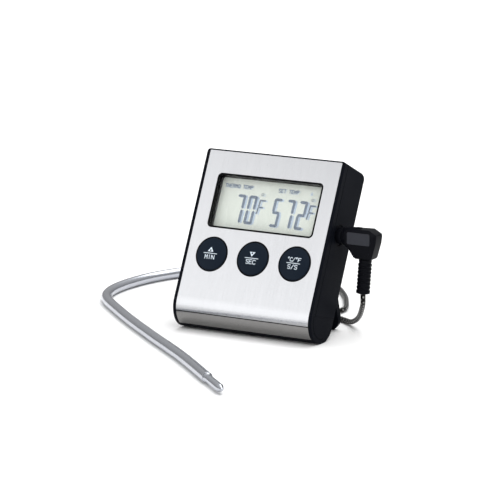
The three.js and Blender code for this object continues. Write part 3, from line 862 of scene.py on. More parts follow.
def make_rims():
    """The rounded black rims that stand in the steel's window and round each button."""
    d, b = settings("display"), settings("buttons")
    rim = cut(window(-0.1, -0.15, 2.5), window(-d.rim, -2, 4))
    soften(rim, 0.26, 3)
    place(rim, "window_rim", AT_CASE, finishes().rim, "case", None)
    for k, name in enumerate(("minute", "second", "unit")):
        x = (k - 1) * b.spacing
        ring = cut(rod(x, b.height, b.ring, -0.22, 2.3, "XZY", 96), rod(x, b.height, b.radius + 0.12, -2, 4, "XZY", 96))
        soften(ring, 0.18, 3)
        place(ring, name + "_rim", AT_CASE, finishes().rim, "case", None)


PIN_LOW, PIN_HIGH = on_face("stand_pin")
HINGE_DEPTH = (PIN_LOW.y + PIN_HIGH.y) / 2
HINGE_HEIGHT = (PIN_LOW.z + PIN_HIGH.z) / 2
RECESS_HALF = PIN_HIGH.x - 2.2
RECESS_TOP = HINGE_HEIGHT + 3
RECESS_LOW = -5.0
RECESS_FLOOR = 16.2


def recess_cut():
    """The hollow in the back that takes the folded stand."""
    outline = rounded(-RECESS_HALF, RECESS_HALF, -8, RECESS_TOP, (0, 0, 1.5, 1.5))
    return prism("recess", outline, RECESS_FLOOR, 25, "XZY")


SOUND_HOLES = (-18, -15, -12)
SELECTOR_X, SELECTOR_Z = 14, 48            # the middle of the mode selector's slot


def make_rear_case():
    case = settings("case")
    body = cut(case_solid(), block(ACROSS, (-1, case.lip + GAP), ALONG), below_split(0.03))
    cut(body, cavity(case.wall))
    half = RECESS_HALF
    inner, edge = RECESS_FLOOR - case.wall, 1.5
    tray = block((-half - edge, half + edge), (inner, case.depth - 0.8),
                 (split_height(case.depth) + GAP, RECESS_TOP + edge))
    join(body, tray, block((-half, half), (inner, RECESS_FLOOR), (RECESS_LOW, 6)))
    for _, x, z in SCREWS:
        top = RECESS_FLOOR if z < RECESS_TOP else case.depth - 0.6
        join(body, rod(x, z, 2.9, 12.8, top, "XZY", 32))
    cut(body, recess_cut(), block((-half, half), (15.3, 25), (HINGE_HEIGHT - 2, RECESS_TOP)))
    for _, x, z in SCREWS:
        cut(body, rod(x, z, 2.3, 14.5, 25, "XZY", 40), rod(x, z, 1.4, 10, 25, "XZY", 24))
    low, high = on_face("jack_socket")
    w, v = (low.y + high.y) / 2, (low.z + high.z) / 2
    cut(body, rod(w, v, 2.9, 29, 35, "YZX", 48), rod(w, v, 4.4, case.width / 2 - 0.35, 35, "YZX", 64))
    for x in SOUND_HOLES:
        cut(body, rod(x, SELECTOR_Z, 0.8, 16, 21, "XZY", 24))
    for name, half_x, half_z, radius, low in (("slot", 4.5, 1.7, 1, 16), ("thumb", 5.7, 2.9, 2, case.depth - 0.5)):
        cut(body, prism(name, rounded(SELECTOR_X - half_x, SELECTOR_X + half_x, SELECTOR_Z - half_z,
                                      SELECTOR_Z + half_z, (radius,) * 4), low, 21, "XZY"))
    cut(body, rod(HINGE_DEPTH, HINGE_HEIGHT, 1.0, -half - 2.5, half + 2.5, "YZX", 24))
    soften(body, 0.3, 2)
    place(body, "rear_shell", AT_CASE, finishes().abs, "case", "rear_case")


def make_battery_door():
    case = settings("case")
    body = keep(case_solid(), below_split(-0.05))
    cut(body, cavity(case.wall),
        block((-RECESS_HALF - GAP, RECESS_HALF + GAP), (case.depth / 2 + 2, 25), (RECESS_LOW - GAP, 12)),
        wedge(case.steel_end + 2, 7.3, 10, case.steel_width / 2 + 0.15))
    rim = prism("rim", case_outline(1.75), *ACROSS, "YZX")
    cut(rim, prism("rim_inner", case_outline(2.0), ACROSS[0] - 1, ACROSS[1] + 1, "YZX"),
        block((-case.width / 2 + 0.25, case.width / 2 - 0.25), (-5, 25), ALONG),
        block((ACROSS[0] - 1, ACROSS[1] + 1), (13, 30), ALONG))
    cut(body, rim)
    soften(body, 0.22, 2)
    place(body, "bottom_door", AT_CASE, finishes().abs, "battery_door", "battery_door")


def dome_depth(reach):
    """How far the crown of a button stands out of the face at a distance from its middle."""
    b = settings("buttons")
    edge = b.radius - 0.5
    return -0.42 - (b.dome - 0.42) * (1 - (min(reach, edge) / edge) ** 2)


INK = 0.26                                 # width of a printed stroke


def make_buttons():
    b = settings("buttons")
    buttons = (("minute_button", -1, "MIN", [(-1.35, 0.75), (1.35, 0.75), (0, 2.75)]),
               ("second_button", 0, "SEC", [(0, 0.65), (1.35, 2.65), (-1.35, 2.65)]),
               ("unit_button", 1, "S/S", None))
    edge, lip = b.radius - 0.5, 0.5
    for name, k, word, arrow in buttons:
        crown = [(edge * i / 14, dome_depth(edge * i / 14)) for i in range(15)]
        rim = [(edge + lip * math.sin(math.radians(a)), 0.08 - lip * math.cos(math.radians(a)))
               for a in (20, 40, 60, 80, 90)]
        profile = crown + rim + [(b.radius, 2.6), (8.6, 2.6), (8.6, 3.7), (1.6, 3.7), (1.6, 4.3), (0, 4.3)]
        middle = Matrix.Translation((k * b.spacing, 0, b.height))
        cap = turned("cap", profile, 96)
        cap.data.transform(middle @ Matrix.Rotation(-math.pi / 2, 4, "X"))
        smooth(cap, 50)
        place(cap, name + "_cap", AT_CASE, finishes().silicone, name, name)

        def on(x, z):
            return dome_depth(math.hypot(x, z))

        bm = bmesh.new()
        if arrow:
            add_patch(bm, arrow, on)
        else:
            add_word(bm, "oC/oF", -3.0, 0.75, 1.6, 1.1, 1.27, INK, on)
        add_bar(bm, (-3.1, 0), (3.1, 0), INK, on)
        add_word(bm, word, -2.2, -2.4, 1.7, 1.2, 1.6, INK, on)
        mark = new_object("mark", bm)
        mark.data.transform(middle)
        place(mark, name + "_mark", AT_CASE, finishes().ink, name, None)


def make_display():
    low, high = on_face("display_panel")
    face = low.y
    panel = prism("panel", rounded(low.x, high.x, low.z, high.z, (0.2,) * 4, 2), low.y, high.y, "XZY")
    soften(panel, 0.12, 2)
    place(panel, "display_cell", AT_CASE, finishes().glass, "case", "display_panel")
    low, high = on_face("display_lens")
    lens = prism("lens", rounded(low.x, high.x, low.z, high.z, (1.0,) * 4, 5), low.y, high.y, "XZY")
    soften(lens, 0.1, 2)
    place(lens, "display_window", AT_CASE, finishes().acrylic, "case", "display_lens")

    d = settings("display")
    gasket = cut(window(1.2, high.y + 0.03, face - 0.05), window(-d.rim - 0.1, 2, 5))
    place(gasket, "display_gasket", AT_CASE, finishes().rim, "case", None)
    # Each figure with its left and right, then the four strokes of the F that follows each number.
    figures = [("7", -16.1, -12.1), ("0", -10.6, -6.5), ("5", 1.6, 5.5), ("7", 7.8, 11.7), ("2", 13.5, 17.5)]
    letter = (((0, 46), (2.3, 46)), ((0, 43), (1.7, 43)), ((0, 45.6), (-0.2, 43.4)), ((-0.3, 42.6), (-0.6, 40.3)))
    bell = [(17.9, 50.4), (19.3, 50.4), (19.0, 50.9), (18.9, 51.5), (18.6, 51.8), (18.3, 51.5), (18.2, 50.9)]
    for name, shift, drop, finish_name, depth in (
            ("display_segments", 0, 0, "segment", face - 0.05),
            ("display_shadows", 0.85, -0.15, "shadow", face - 0.005)):
        bm = bmesh.new()
        for figure, left, right in figures:
            for shape in segment_shapes(figure, left + shift, right + shift, d.digit_low + drop,
                                        d.digit_high + drop, d.stroke, 0.03):
                add_patch(bm, shape, lambda x, z: depth, 0.02)
        for left in (-4.7, 19.2):
            for a, b in letter:
                add_bar(bm, (left + shift + a[0], a[1] + drop), (left + shift + b[0], b[1] + drop), 0.68,
                        lambda x, z: depth, 0.02, 1)
            ring = circle(left + shift + 0.5, 48.5 + drop, 0.55, 8)
            for p, q in zip(ring, ring[1:] + ring[:1]):
                add_bar(bm, p, q, 0.22, lambda x, z: depth, 0.02, 1)
        for word, left in (("THERMO TEMP", -22.9), ("SET TEMP", 2.9)):
            add_word(bm, word, left + shift * 0.5, 50.3 + drop, 1.45, 0.85, 1.24, INK, lambda x, z: depth)
        if shift:
            add_patch(bm, bell, lambda x, z: depth, 0.02)
        marks = new_object(name, bm)
        place(marks, name, AT_CASE, getattr(finishes(), finish_name), "case", None)


def make_stand():
    fold = joint("stand_fold")
    hinge = Vector(fold["pos_m"]) / MM
    open_turn = math.radians(fold["range_deg"][1]) - LEAN
    half, corner, thick, barrel = RECESS_HALF - 0.5, 6.0, 2.4, 1.7
    reach = (hinge.z + 0.8 * math.sin(open_turn)) / math.cos(open_turn) + 0.5
    flap = prism("flap", rounded(-half, half, -reach, 0, (corner, corner, 0, 0), 10), -0.8, thick - 0.8, "XZY")
    join(flap, rod(0, 0, barrel, -half, half, "YZX", 40))
    scoop = prism("scoop", rounded(3 - half, half - 3, -reach + 4.5, -4.5, (3, 3, 1.5, 1.5), 6), thick - 1.5, 5, "XZY")
    cut(flap, rod(0, 0, 1, -half - 1, half + 1, "YZX", 24), scoop)
    ribs = [block((x - 0.6, x + 0.6), (0.3, thick - 1.1), (-reach + 4, -4)) for x in (-12, 0, 12)]
    join(flap, *ribs)
    cut(flap, rod(0, -20.5, 5, thick - 1.6, 5, "XZY", 48))
    turn = Matrix.Translation(hinge) @ Matrix.Rotation(open_turn, 4, "X")
    table = block((-40, 40), (-40, 40), (-20, 0))
    flap.data.transform(turn)
    cut(flap, table)
    soften(flap, 0.25, 2)
    place(flap, "stand_flap", AT_TABLE, finishes().abs, "stand", "stand")


def make_screws():
    for where, x, z in SCREWS:
        low, high = on_face("case_screw_" + where)
        head = high.y
        profile = [(0, low.y), (0.5, low.y + 0.3), (1.0, low.y + 1.6), (1.05, head - 1.25), (1.95, head - 1.2),
                   (2.0, head - 0.5), (1.8, head - 0.15), (1.2, head), (0, head)]
        body = turned("screw", profile, 32)
        body.data.transform(Matrix.Rotation(-math.pi / 2, 4, "X"))
        body.data.transform(Matrix.Scale(-1, 4, Vector((0, 0, 1))))
        body.data.flip_normals()
        cut(body, block((-1.3, 1.3), (head - 0.7, head + 1), (-0.28, 0.28)),
            block((-0.28, 0.28), (head - 0.7, head + 1), (-1.3, 1.3)))
        body.data.transform(Matrix.Translation((x, 0, z)))
        smooth(body)
        place(body, "screw_" + where, AT_CASE, finishes().plated, "case", "case_screw_" + where)


def make_mode_slider():
    low, high = on_face("mode_slider")
    x, z = (low.x + high.x) / 2, (low.z + high.z) / 2
    base = block((low.x, high.x), (low.y, 17), (low.z, high.z))
    knob = prism("knob", rounded(x - 1.8, x + 1.8, z - 1.3, z + 1.3, (0.4,) * 4, 3), 16.5, high.y, "XZY")
    join(base, knob)
    for k in (-1, 0, 1):
        cut(base, block((x + k * 0.9 - 0.2, x + k * 0.9 + 0.2), (high.y - 0.35, high.y + 1), (z - 2, z + 2)))
    soften(base, 0.1, 2)
    place(base, "mode_knob", AT_CASE, finishes().abs, "mode_slider", "mode_slider")


JACK_BORE = 1.55                           # radius of the jack's hole and of the plug's


def make_jack():
    low, high = on_face("jack_socket")
    w, v = (low.y + high.y) / 2, (low.z + high.z) / 2
    collar = 2.6
    body = prism("jack", rounded(low.y, high.y, v - collar, v + collar, (0.5,) * 4, 3), low.x, 31.2, "YZX")
    join(body, rod(w, v, collar, 30, high.x, "YZX", 48))
    cut(body, rod(w, v, JACK_BORE, 20.5, 40, "YZX", 40))
    soften(body, 0.2, 2)
    place(body, "jack_housing", AT_CASE, finishes().abs, "case", "jack_socket")


BOOT_ACROSS = 45.9                         # the boot's place along the plug
BOOT_TURN = math.radians(4.2)              # and how far it leans


def plug_axis():
    middle = table_point("plug_sleeve")
    return Vector((0, middle.y, middle.z))


def make_plug():
    at = Matrix.Translation(plug_axis())
    outline = [(36.4, 3.0), (37.4, 3.75), (48.1, 4.1), (51.4, 2.3), (51.6, 1.4), (51.2, -1.6), (49.5, -7.6),
               (48.9, -8.3), (42.0, -8.3), (41.0, -7.8), (38.4, -4.1), (36.4, -3.2)]
    half = 3.7
    body = prism("plug", outline, -half, half, "XZY")
    soften(body, 1.1, 1, 50)
    collar = rod(0, 0, half, 33.4, 38.5, "YZX", 64)
    ring = cut(rod(0, 0, 3.8, 35.4, 35.75, "YZX", 64), rod(0, 0, 3.45, 35, 36, "YZX", 64))
    cut(collar, ring)
    join(body, collar)
    nub = prism("nub", rounded(41, 43.4, -1.0, 1.0, (0.4,) * 4, 3), 3.2, 4.35, "XYZ")
    join(body, nub)
    panel = prism("panel", rounded(38.3, 49.2, -2.5, 2.9, (0.8,) * 4, 4), -4.2, -3.62, "XZY")
    cut(body, panel, rod(0, 0, JACK_BORE, 30, 41, "YZX", 32))
    soften(body, 0.22, 2)
    body.data.transform(at)
    place(body, "plug_housing", AT_TABLE, finishes().pvc, "plug", "plug_body")
    inlay = prism("inlay", rounded(38.5, 49.0, -2.3, 2.7, (0.7,) * 4, 4), -3.72, -3.5, "XZY")
    soften(inlay, 0.06, 2)
    inlay.data.transform(at)
    place(inlay, "plug_inlay", AT_TABLE, finishes().label, "plug", None)

    top, foot, rings = -8.6, -23.0, 7
    pitch = (top - foot - 3.4) / rings
    profile = [(0, foot), (2.3, foot), (2.85, foot + 0.2), (2.9, foot + 1.1), (2.75, foot + 1.4)]
    for k in range(rings):
        z = foot + 1.6 + k * pitch
        profile += [(2.5, z + 0.1), (2.5, z + 0.4), (2.75, z + 0.5), (2.85, z + 0.75), (2.85, z + pitch - 0.4),
                    (2.75, z + pitch - 0.1)]
    profile += [(2.5, top - 1.6), (2.5, top - 1.3), (2.7, top - 1.1), (2.7, top), (0, top)]
    boot = turned("boot", profile, 48)
    windows = [block((-4, 4), (-4, -2.1), (foot + 2.0 + k * pitch, foot + 2.5 + k * pitch))
               for k in range(0, rings, 2)]
    cut(boot, *windows)
    boot.data.transform(at @ Matrix.Translation((BOOT_ACROSS, 0, 0)) @ Matrix.Rotation(BOOT_TURN, 4, "Y"))
    smooth(boot, 50)
    place(boot, "lead_boot", AT_TABLE, finishes().pvc, "plug", "strain_relief")


# The lead's route: from the plug's boot to the ring, and from the ring to the probe.
PLUG_LEAD = [
    (44.2, 13.861, 19.4), (44.1, 14.2, 17.2), (43.0, 16.2, 14.6), (41.0, 19.2, 12.0), (38.2, 23.2, 8.8),
    (35.0, 27.4, 5.8), (31.2, 31.2, 3.1), (27.2, 34.6, 1.4), (22.9, 37.4, 1.1), (18.5, 39.6, 1.1),
    (11, 41.6, 1.1), (2, 42.9, 1.1), (-6, 43.4, 1.1), (-12.2, 43.4, 1.1),
]
PROBE_LEAD = [
    (-5.2, 50.2, 2.6), (-4.1, 48.3, 2.0), (-1.2, 46.9, 1.4), (3.2, 46.6, 1.1), (7.8, 47.5, 1.1),
    (11.4, 50.3, 1.1), (12.7, 54.6, 1.1), (11.0, 60.2, 1.1), (7.2, 67.4, 1.1), (2.2, 75.8, 1.1),
    (-3.6, 83.8, 1.1), (-9.4, 90.6, 1.1), (-18.6, 98.4, 1.1), (-29, 104, 1.1), (-40.5, 107.2, 1.1),
    (-52, 107.9, 1.1), (-62.4, 105.6, 1.3), (-69.1, 100.6, 1.9), (-72.9, 95.3, 2.25),
]
PROBE_ROUTE = [
    (27.2, -81.2), (0.6, -56.9), (-30.4, -31.1), (-54.5, -10.4), (-66.2, 0.3), (-75.3, 8.8), (-81.6, 15.2),
    (-86.2, 21.4), (-89.1, 27.9), (-90.9, 35.2), (-91.6, 43.2), (-91.5, 50), (-90.8, 57), (-89.4, 64),
    (-87.2, 71), (-84.2, 77.8), (-80.2, 84),
]


def coil_turns():
    """The wound ring: inward on the table, then outward on top, lifted a little over the tie."""
    cable = settings("cable")
    middle = table_point("cable_coil")
    pitch = cable.radius * 2
    per_turn = 24
    lift, spread = 0.75, 40.0              # the hump over the tie, and how quickly it dies away
    count = cable.turns
    outer = cable.ring + pitch * (count - 1) / 2
    points = []
    total = 2 * count * per_turn
    for i in range(total + 1):
        turn = i / per_turn
        sweep = math.radians(-90) - 2 * math.pi * turn * (2 * count - 0.25) / (2 * count)
        if turn < count:
            radius, height = outer - pitch * max(0.0, turn - 0.5) * (count - 1) / (count - 0.5), cable.radius
        else:
            radius = outer - pitch * (count - 1) * (1 - min(1.0, (turn - count) / (count - 0.5)))
            height = cable.radius + pitch * min(1.0, (turn - count) * 4)
        away = (math.cos(sweep) + 1) * radius
        hump = lift * math.exp(-(away * away + (math.sin(sweep) * radius) ** 2) / spread)
        points.append(Vector((middle.x + radius * math.cos(sweep), middle.y + radius * math.sin(sweep),
                              height + hump)))
    return points


def smooth_path(points, step):
    """Points a step apart on a smooth curve through the given ones."""
    pieces = 12                            # short straight pieces between two given points
    ends = [points[0] * 2 - points[1]] + points + [points[-1] * 2 - points[-2]]
    fine = []
    for p0, p1, p2, p3 in zip(ends, ends[1:], ends[2:], ends[3:]):
        t0 = 0.0
        t1 = t0 + math.sqrt((p1 - p0).length)
        t2 = t1 + math.sqrt((p2 - p1).length)
        t3 = t2 + math.sqrt((p3 - p2).length)
        for i in range(pieces):
            t = t1 + (t2 - t1) * i / pieces
            a1 = p0.lerp(p1, (t - t0) / (t1 - t0))
            a2 = p1.lerp(p2, (t - t1) / (t2 - t1))
            a3 = p2.lerp(p3, (t - t2) / (t3 - t2))
            b1 = a1.lerp(a2, (t - t0) / (t2 - t0))
            b2 = a2.lerp(a3, (t - t1) / (t3 - t1))
            fine.append(b1.lerp(b2, (t - t1) / (t2 - t1)))
    fine.append(points[-1])
    spaced, left = [fine[0]], step
    for a, b in zip(fine, fine[1:]):
        gone = (b - a).length
        while gone > left:
            a = a.lerp(b, left / gone)
            spaced.append(a)
            gone -= left
            left = step
        left -= gone
    if (spaced[-1] - fine[-1]).length > step * 0.3:
        spaced.append(fine[-1])
    else:
        spaced[-1] = fine[-1]
    return spaced


def sweep_tube(name, path, radius, sides):
    """A closed tube along a path, with coordinates in millimetres round and along it."""
    bm = bmesh.new()
    uv = bm.loops.layers.uv.new("lead")
    rings, travelled = [], [0.0]
    side = Vector((0, 0, 1)).cross(path[1] - path[0])
    if side.length < 1e-3:
        side = Vector((1, 0, 0))
    for i, p in enumerate(path):
        forward = (path[min(i + 1, len(path) - 1)] - path[max(i - 1, 0)]).normalized()
        side = (side - forward * side.dot(forward)).normalized()
        other = forward.cross(side)
        rings.append([bm.verts.new(p + (side * math.cos(a) + other * math.sin(a)) * radius)
                      for a in (2 * math.pi * k / sides for k in range(sides))])
        if i:
            travelled.append(travelled[-1] + (p - path[i - 1]).length)
    round_mm = 2 * math.pi * radius
    for i, (a, b) in enumerate(zip(rings, rings[1:])):
        for k in range(sides):
            j = (k + 1) % sides
            face = bm.faces.new((a[k], a[j], b[j], b[k]))
            corners = ((k, i), (k + 1, i), (k + 1, i + 1), (k, i + 1))
            for loop, (around, along) in zip(face.loops, corners):
                loop[uv].uv = (round_mm * around / sides, travelled[along])
    bm.faces.new(list(reversed(rings[0])))
    bm.faces.new(rings[-1])
    return smooth(new_object(name, bm), 60)


def make_cable():
    cable = settings("cable")
    route = [Vector(p) for p in PLUG_LEAD]
    route[0].y = plug_axis().y
    path = smooth_path(route + coil_turns()[1:-1] + [Vector(p) for p in PROBE_LEAD], 1.6)
    tube = sweep_tube("cable", path, cable.radius, 12)
    tube.name = "braided_lead"
    tube.data.transform(AT_TABLE)
    tube.data.materials.append(finishes().braid)
    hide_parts("cable_plug_end", "cable_coil", "cable_probe_end")
    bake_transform(tube)
    tie = make_tie()


def make_tie():
    low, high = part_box("cable_tie")
    low, high = low / MM, high / MM
    middle = (low + high) / 2
    thick = 0.65
    outer = rounded(low.x, high.x, low.z, high.z, (1.2,) * 4, 6)
    inner = rounded(low.x + thick, high.x - thick, low.z + thick, high.z - thick, (0.6,) * 4, 6)
    band = prism("tie", outer, low.y, high.y, "XZY")
    cut(band, prism("inner", inner, low.y - 1, high.y + 1, "XZY"))
    join(band, block((low.x - 0.9, low.x + 0.3), (low.y - 0.4, high.y + 0.4), (middle.z - 1.4, middle.z + 1.4)))
    soften(band, 0.18, 2)
    return place(band, "tie_band", AT_TABLE, finishes().nylon, "case", "cable_tie")


def make_probe():
    cable = settings("cable")
    radius = cable.probe_radius
    route = [Vector((x, y, radius)) for x, y in PROBE_ROUTE]
    path = smooth_path(route, 2.0)
    tube = sweep_tube("probe", path, radius, 40)
    soften(tube, 0.18, 2, 60)
    place(tube, "probe_shaft", AT_TABLE, finishes().probe, "case", "probe_tube")

    away = (route[0] - route[1]).normalized()
    turn = away.to_track_quat("Z", "Y").to_matrix().to_4x4()
    start = Matrix.Translation(route[0] + away * GAP) @ turn
    tip = turned("tip", [(0, 11), (0.95, 11), (0.95, 0), (2.1, 0), (2.15, 0.15), (2.05, 0.6), (1.76, 1.3), (1.7, 1.7),
                         (1.7, 16.4), (1.62, 16.8), (0.5, 19.9), (0.22, 20.15), (0, 20.2)], 40)
    smooth(tip, 25)
    tip.data.transform(start)
    place(tip, "probe_point", AT_TABLE, finishes().probe, "case", "probe_tip")

    out = (route[-1] - route[-2]).normalized()
    ferrule = turned("ferrule", [
        (0, 0.3), (2.0, 0.3), (2.2, 0.5), (2.2, 3.4), (2.02, 3.7), (2.02, 4.3), (2.2, 4.6), (2.2, 7.4), (2.02, 7.7),
        (2.02, 8.3), (2.2, 8.6), (2.2, 11.8), (2.0, 12.4), (1.5, 13.1), (0, 13.1)], 40)
    ferrule.data.transform(Matrix.Translation(route[-1]) @ out.to_track_quat("Z", "Y").to_matrix().to_4x4())
    smooth(ferrule, 40)
    place(ferrule, "probe_crimp", AT_TABLE, finishes().probe, "case", "probe_ferrule")


def finish_inner_parts():
    f = finishes()
    kept = {
        "circuit_board": f.laminate, "control_chip": f.resin, "buzzer": f.resin, "thermistor": f.resin,
        "display_connector_upper": f.strip, "display_connector_lower": f.strip, "battery": f.film,
        "battery_contact_plus": f.plated, "battery_contact_minus": f.plated, "battery_spring": f.plated,
        "minute_switch": f.plated, "second_switch": f.plated, "unit_switch": f.plated, "mode_switch": f.plated,
        "board_screw_left": f.plated, "board_screw_right": f.plated, "stand_pin": f.plated,
        "plug_sleeve": f.plated, "plug_tip": f.plated, "plug_insulator": f.pvc,
    }
    for node, material in kept.items():
        obj = frame["nodes"][node]
        obj.data.materials.clear()
        obj.data.materials.append(material)


# ---------------------------------------------------------------------------
# Stage
# ---------------------------------------------------------------------------

def add_light(name, where, target, size, power):
    data = bpy.data.lights.new(name, "AREA")
    data.shape = "RECTANGLE"
    data.size, data.size_y = size
    data.energy = power
    lamp = bpy.data.objects.new(name, data)
    lamp.location = where
    lamp.rotation_mode = "QUATERNION"
    lamp.rotation_quaternion = (Vector(target) - Vector(where)).to_track_quat("-Z", "Y")
    bpy.context.scene.collection.objects.link(lamp)


AIM = (-2.0, 1.1, 35.1)                    # what the camera looks at, in millimetres
FLOOR_HALF = 8                             # metres from the floor's middle to its edge

# Each lamp with its place, what it looks at and its two sides in metres, and its power in watts.
LAMPS = [
    ("front softbox", (-0.83, -1.28, 0.52), (0, 0, 0.03), (1.5, 1.05), 5.5),
    ("overhead", (0.3, 0.9, 2.4), (0, 0.1, 0), (3.2, 2.6), 62),
    ("fill", (0.9, -1.1, 1.6), (0, 0, 0.03), (1.2, 0.8), 12),
]


def make_stage():
    stage = settings("stage")
    a, e = math.radians(stage.azimuth), math.radians(stage.elevation)
    back = Vector((math.sin(a) * math.cos(e), -math.cos(a) * math.cos(e), math.sin(e)))
    target = Vector(AIM) * MM
    data = bpy.data.cameras.new("camera")
    data.lens = stage.lens
    data.sensor_width = 36
    data.clip_start, data.clip_end = 0.05, 60
    camera = bpy.data.objects.new("camera", data)
    camera.location = target + back * stage.distance * MM
    camera.rotation_mode = "QUATERNION"
    camera.rotation_quaternion = (-back).to_track_quat("-Z", "Y")
    bpy.context.scene.collection.objects.link(camera)
    bpy.context.scene.camera = camera

    bpy.context.scene.view_settings.view_transform = "Standard"
    material = finish("pale_paper_floor", stage.floor, Roughness=0.9)[0]
    outline = rounded(-FLOOR_HALF, FLOOR_HALF, -FLOOR_HALF, FLOOR_HALF, (0, 0, 0, 0))
    floor = prism("floor", outline, -0.02, -0.0002, "XYZ")
    floor.data.materials.append(material)

    world = bpy.data.worlds.new("studio")
    bpy.context.scene.world = world
    world.use_nodes = True
    tree = world.node_tree
    sky = add(tree, "ShaderNodeSeparateXYZ", links={"Vector": add(tree, "ShaderNodeTexCoord").outputs["Generated"]})
    backdrop = tree.nodes["Background"].inputs
    add(tree, "ShaderNodeMapRange", {"From Min": 0.0, "From Max": 0.6, "To Min": 0.3, "To Max": 0.7},
        {"Value": sky.outputs["Z"]}, {"Result": backdrop["Strength"]})
    backdrop["Color"].default_value = (1, 1, 1, 1)
    for lamp in LAMPS:
        add_light(*lamp)


# ---------------------------------------------------------------------------
# Add-on
# ---------------------------------------------------------------------------

class THERMOMETER_OT_stage(bpy.types.Operator):
    """Makes the camera, the floor and the lights"""
    bl_idname = "thermometer.stage"
    bl_label = "Stage"

    def execute(self, context):
        make_stage()
        return {"FINISHED"}


class THERMOMETER_OT_plug(bpy.types.Operator):
    """Makes the plug and its boot"""
    bl_idname = "thermometer.plug"
    bl_label = "Plug"

    def execute(self, context):
        make_plug()
        return {"FINISHED"}


class THERMOMETER_OT_cable(bpy.types.Operator):
    """Makes the braided lead and its tie"""
    bl_idname = "thermometer.cable"
    bl_label = "Cable"

    def execute(self, context):
        make_cable()
        return {"FINISHED"}


class THERMOMETER_OT_probe(bpy.types.Operator):
    """Makes the probe's shaft, point and crimp"""
    bl_idname = "thermometer.probe"
    bl_label = "Probe"

    def execute(self, context):
        make_probe()
        return {"FINISHED"}


class THERMOMETER_OT_steel_front(bpy.types.Operator):
    """Makes the brushed steel skin"""
    bl_idname = "thermometer.steel_front"
    bl_label = "Steel front"

    def execute(self, context):
        make_front_cover()
        return {"FINISHED"}


class THERMOMETER_OT_front_frame(bpy.types.Operator):
    """Makes the black frame behind the steel"""
    bl_idname = "thermometer.front_frame"
    bl_label = "Front frame"

    def execute(self, context):
        make_front_case()
        return {"FINISHED"}


class THERMOMETER_OT_rims(bpy.types.Operator):
    """Makes the black rims round the window and the buttons"""
    bl_idname = "thermometer.rims"
    bl_label = "Rims"

    def execute(self, context):
        make_rims()
        return {"FINISHED"}


class THERMOMETER_OT_rear_shell(bpy.types.Operator):
    """Makes the case's back"""
    bl_idname = "thermometer.rear_shell"
    bl_label = "Rear shell"

    def execute(self, context):
        make_rear_case()
        return {"FINISHED"}


class THERMOMETER_OT_battery_door(bpy.types.Operator):
    """Makes the rounded bottom that slides off"""
    bl_idname = "thermometer.battery_door"
    bl_label = "Battery door"

    def execute(self, context):
        make_battery_door()
        return {"FINISHED"}


class THERMOMETER_OT_buttons(bpy.types.Operator):
    """Makes the buttons and their printed marks"""
    bl_idname = "thermometer.buttons"
    bl_label = "Buttons"

    def execute(self, context):
        make_buttons()
        return {"FINISHED"}


class THERMOMETER_OT_display(bpy.types.Operator):
    """Makes the display, its window and its figures"""
    bl_idname = "thermometer.display"
    bl_label = "Display"

    def execute(self, context):
        make_display()
        return {"FINISHED"}


class THERMOMETER_OT_stand(bpy.types.Operator):
    """Makes the fold-out stand"""
    bl_idname = "thermometer.stand"
    bl_label = "Stand"

    def execute(self, context):
        make_stand()
        return {"FINISHED"}


class THERMOMETER_OT_screws(bpy.types.Operator):
    """Makes the four case screws"""
    bl_idname = "thermometer.screws"
    bl_label = "Screws"

    def execute(self, context):
        make_screws()
        return {"FINISHED"}


class THERMOMETER_OT_mode_knob(bpy.types.Operator):
    """Makes the knob that selects thermometer or timer"""
    bl_idname = "thermometer.mode_knob"
    bl_label = "Mode knob"

    def execute(self, context):
        make_mode_slider()
        return {"FINISHED"}


class THERMOMETER_OT_jack(bpy.types.Operator):
    """Makes the jack's housing"""
    bl_idname = "thermometer.jack"
    bl_label = "Jack"

    def execute(self, context):
        make_jack()
        return {"FINISHED"}


class THERMOMETER_OT_inner_parts(bpy.types.Operator):
    """Gives the parts inside their finishes"""
    bl_idname = "thermometer.inner_parts"
    bl_label = "Inner parts"

    def execute(self, context):
        finish_inner_parts()
        return {"FINISHED"}


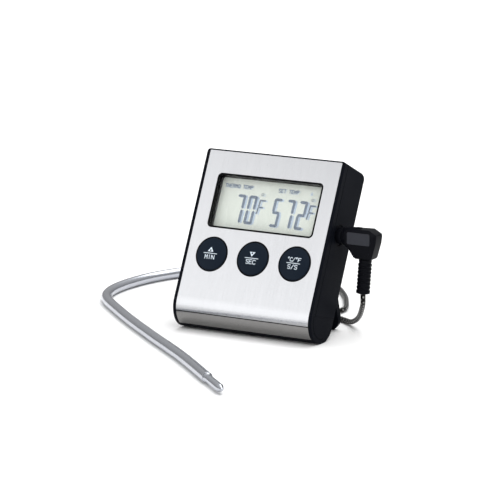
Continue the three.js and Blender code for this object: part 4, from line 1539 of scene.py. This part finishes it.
STEPS = (
    THERMOMETER_OT_stage, THERMOMETER_OT_plug, THERMOMETER_OT_cable, THERMOMETER_OT_probe, THERMOMETER_OT_steel_front,
    THERMOMETER_OT_front_frame, THERMOMETER_OT_rims, THERMOMETER_OT_rear_shell, THERMOMETER_OT_battery_door,
    THERMOMETER_OT_buttons, THERMOMETER_OT_display, THERMOMETER_OT_stand, THERMOMETER_OT_screws,
    THERMOMETER_OT_mode_knob, THERMOMETER_OT_jack, THERMOMETER_OT_inner_parts,
)
GROUPS = {
    "case": ThermometerCase, "display": ThermometerDisplay, "buttons": ThermometerButtons,
    "cable": ThermometerCable, "colours": ThermometerColours, "stage": ThermometerStage,
}


class THERMOMETER_PT_panel(bpy.types.Panel):
    """Lists the thermometer's settings and steps"""
    bl_label = "Meat Thermometer"
    bl_space_type = "VIEW_3D"
    bl_region_type = "UI"
    bl_category = "Thermometer"

    def draw(self, context):
        layout = self.layout
        for step in STEPS:
            layout.operator(step.bl_idname)
        for key, group in GROUPS.items():
            box = layout.box()
            box.label(text=key.title())
            for name in group.__annotations__:
                box.prop(getattr(context.scene, "thermometer_" + key), name)


def register():
    for key, group in GROUPS.items():
        bpy.utils.register_class(group)
        setattr(bpy.types.Scene, "thermometer_" + key, bpy.props.PointerProperty(type=group))
    for step in STEPS:
        bpy.utils.register_class(step)
    bpy.utils.register_class(THERMOMETER_PT_panel)


def unregister():
    bpy.utils.unregister_class(THERMOMETER_PT_panel)
    for step in reversed(STEPS):
        bpy.utils.unregister_class(step)
    for key, group in reversed(list(GROUPS.items())):
        delattr(bpy.types.Scene, "thermometer_" + key)
        bpy.utils.unregister_class(group)


def main():
    register()
    bpy.ops.thermometer.stage()
    bpy.ops.thermometer.plug()
    bpy.ops.thermometer.cable()
    bpy.ops.thermometer.probe()
    bpy.ops.thermometer.steel_front()
    bpy.ops.thermometer.front_frame()
    bpy.ops.thermometer.rims()
    bpy.ops.thermometer.rear_shell()
    bpy.ops.thermometer.battery_door()
    bpy.ops.thermometer.buttons()
    bpy.ops.thermometer.display()
    bpy.ops.thermometer.stand()
    bpy.ops.thermometer.screws()
    bpy.ops.thermometer.mode_knob()
    bpy.ops.thermometer.jack()
    bpy.ops.thermometer.inner_parts()


if __name__ == "__main__":
    main()
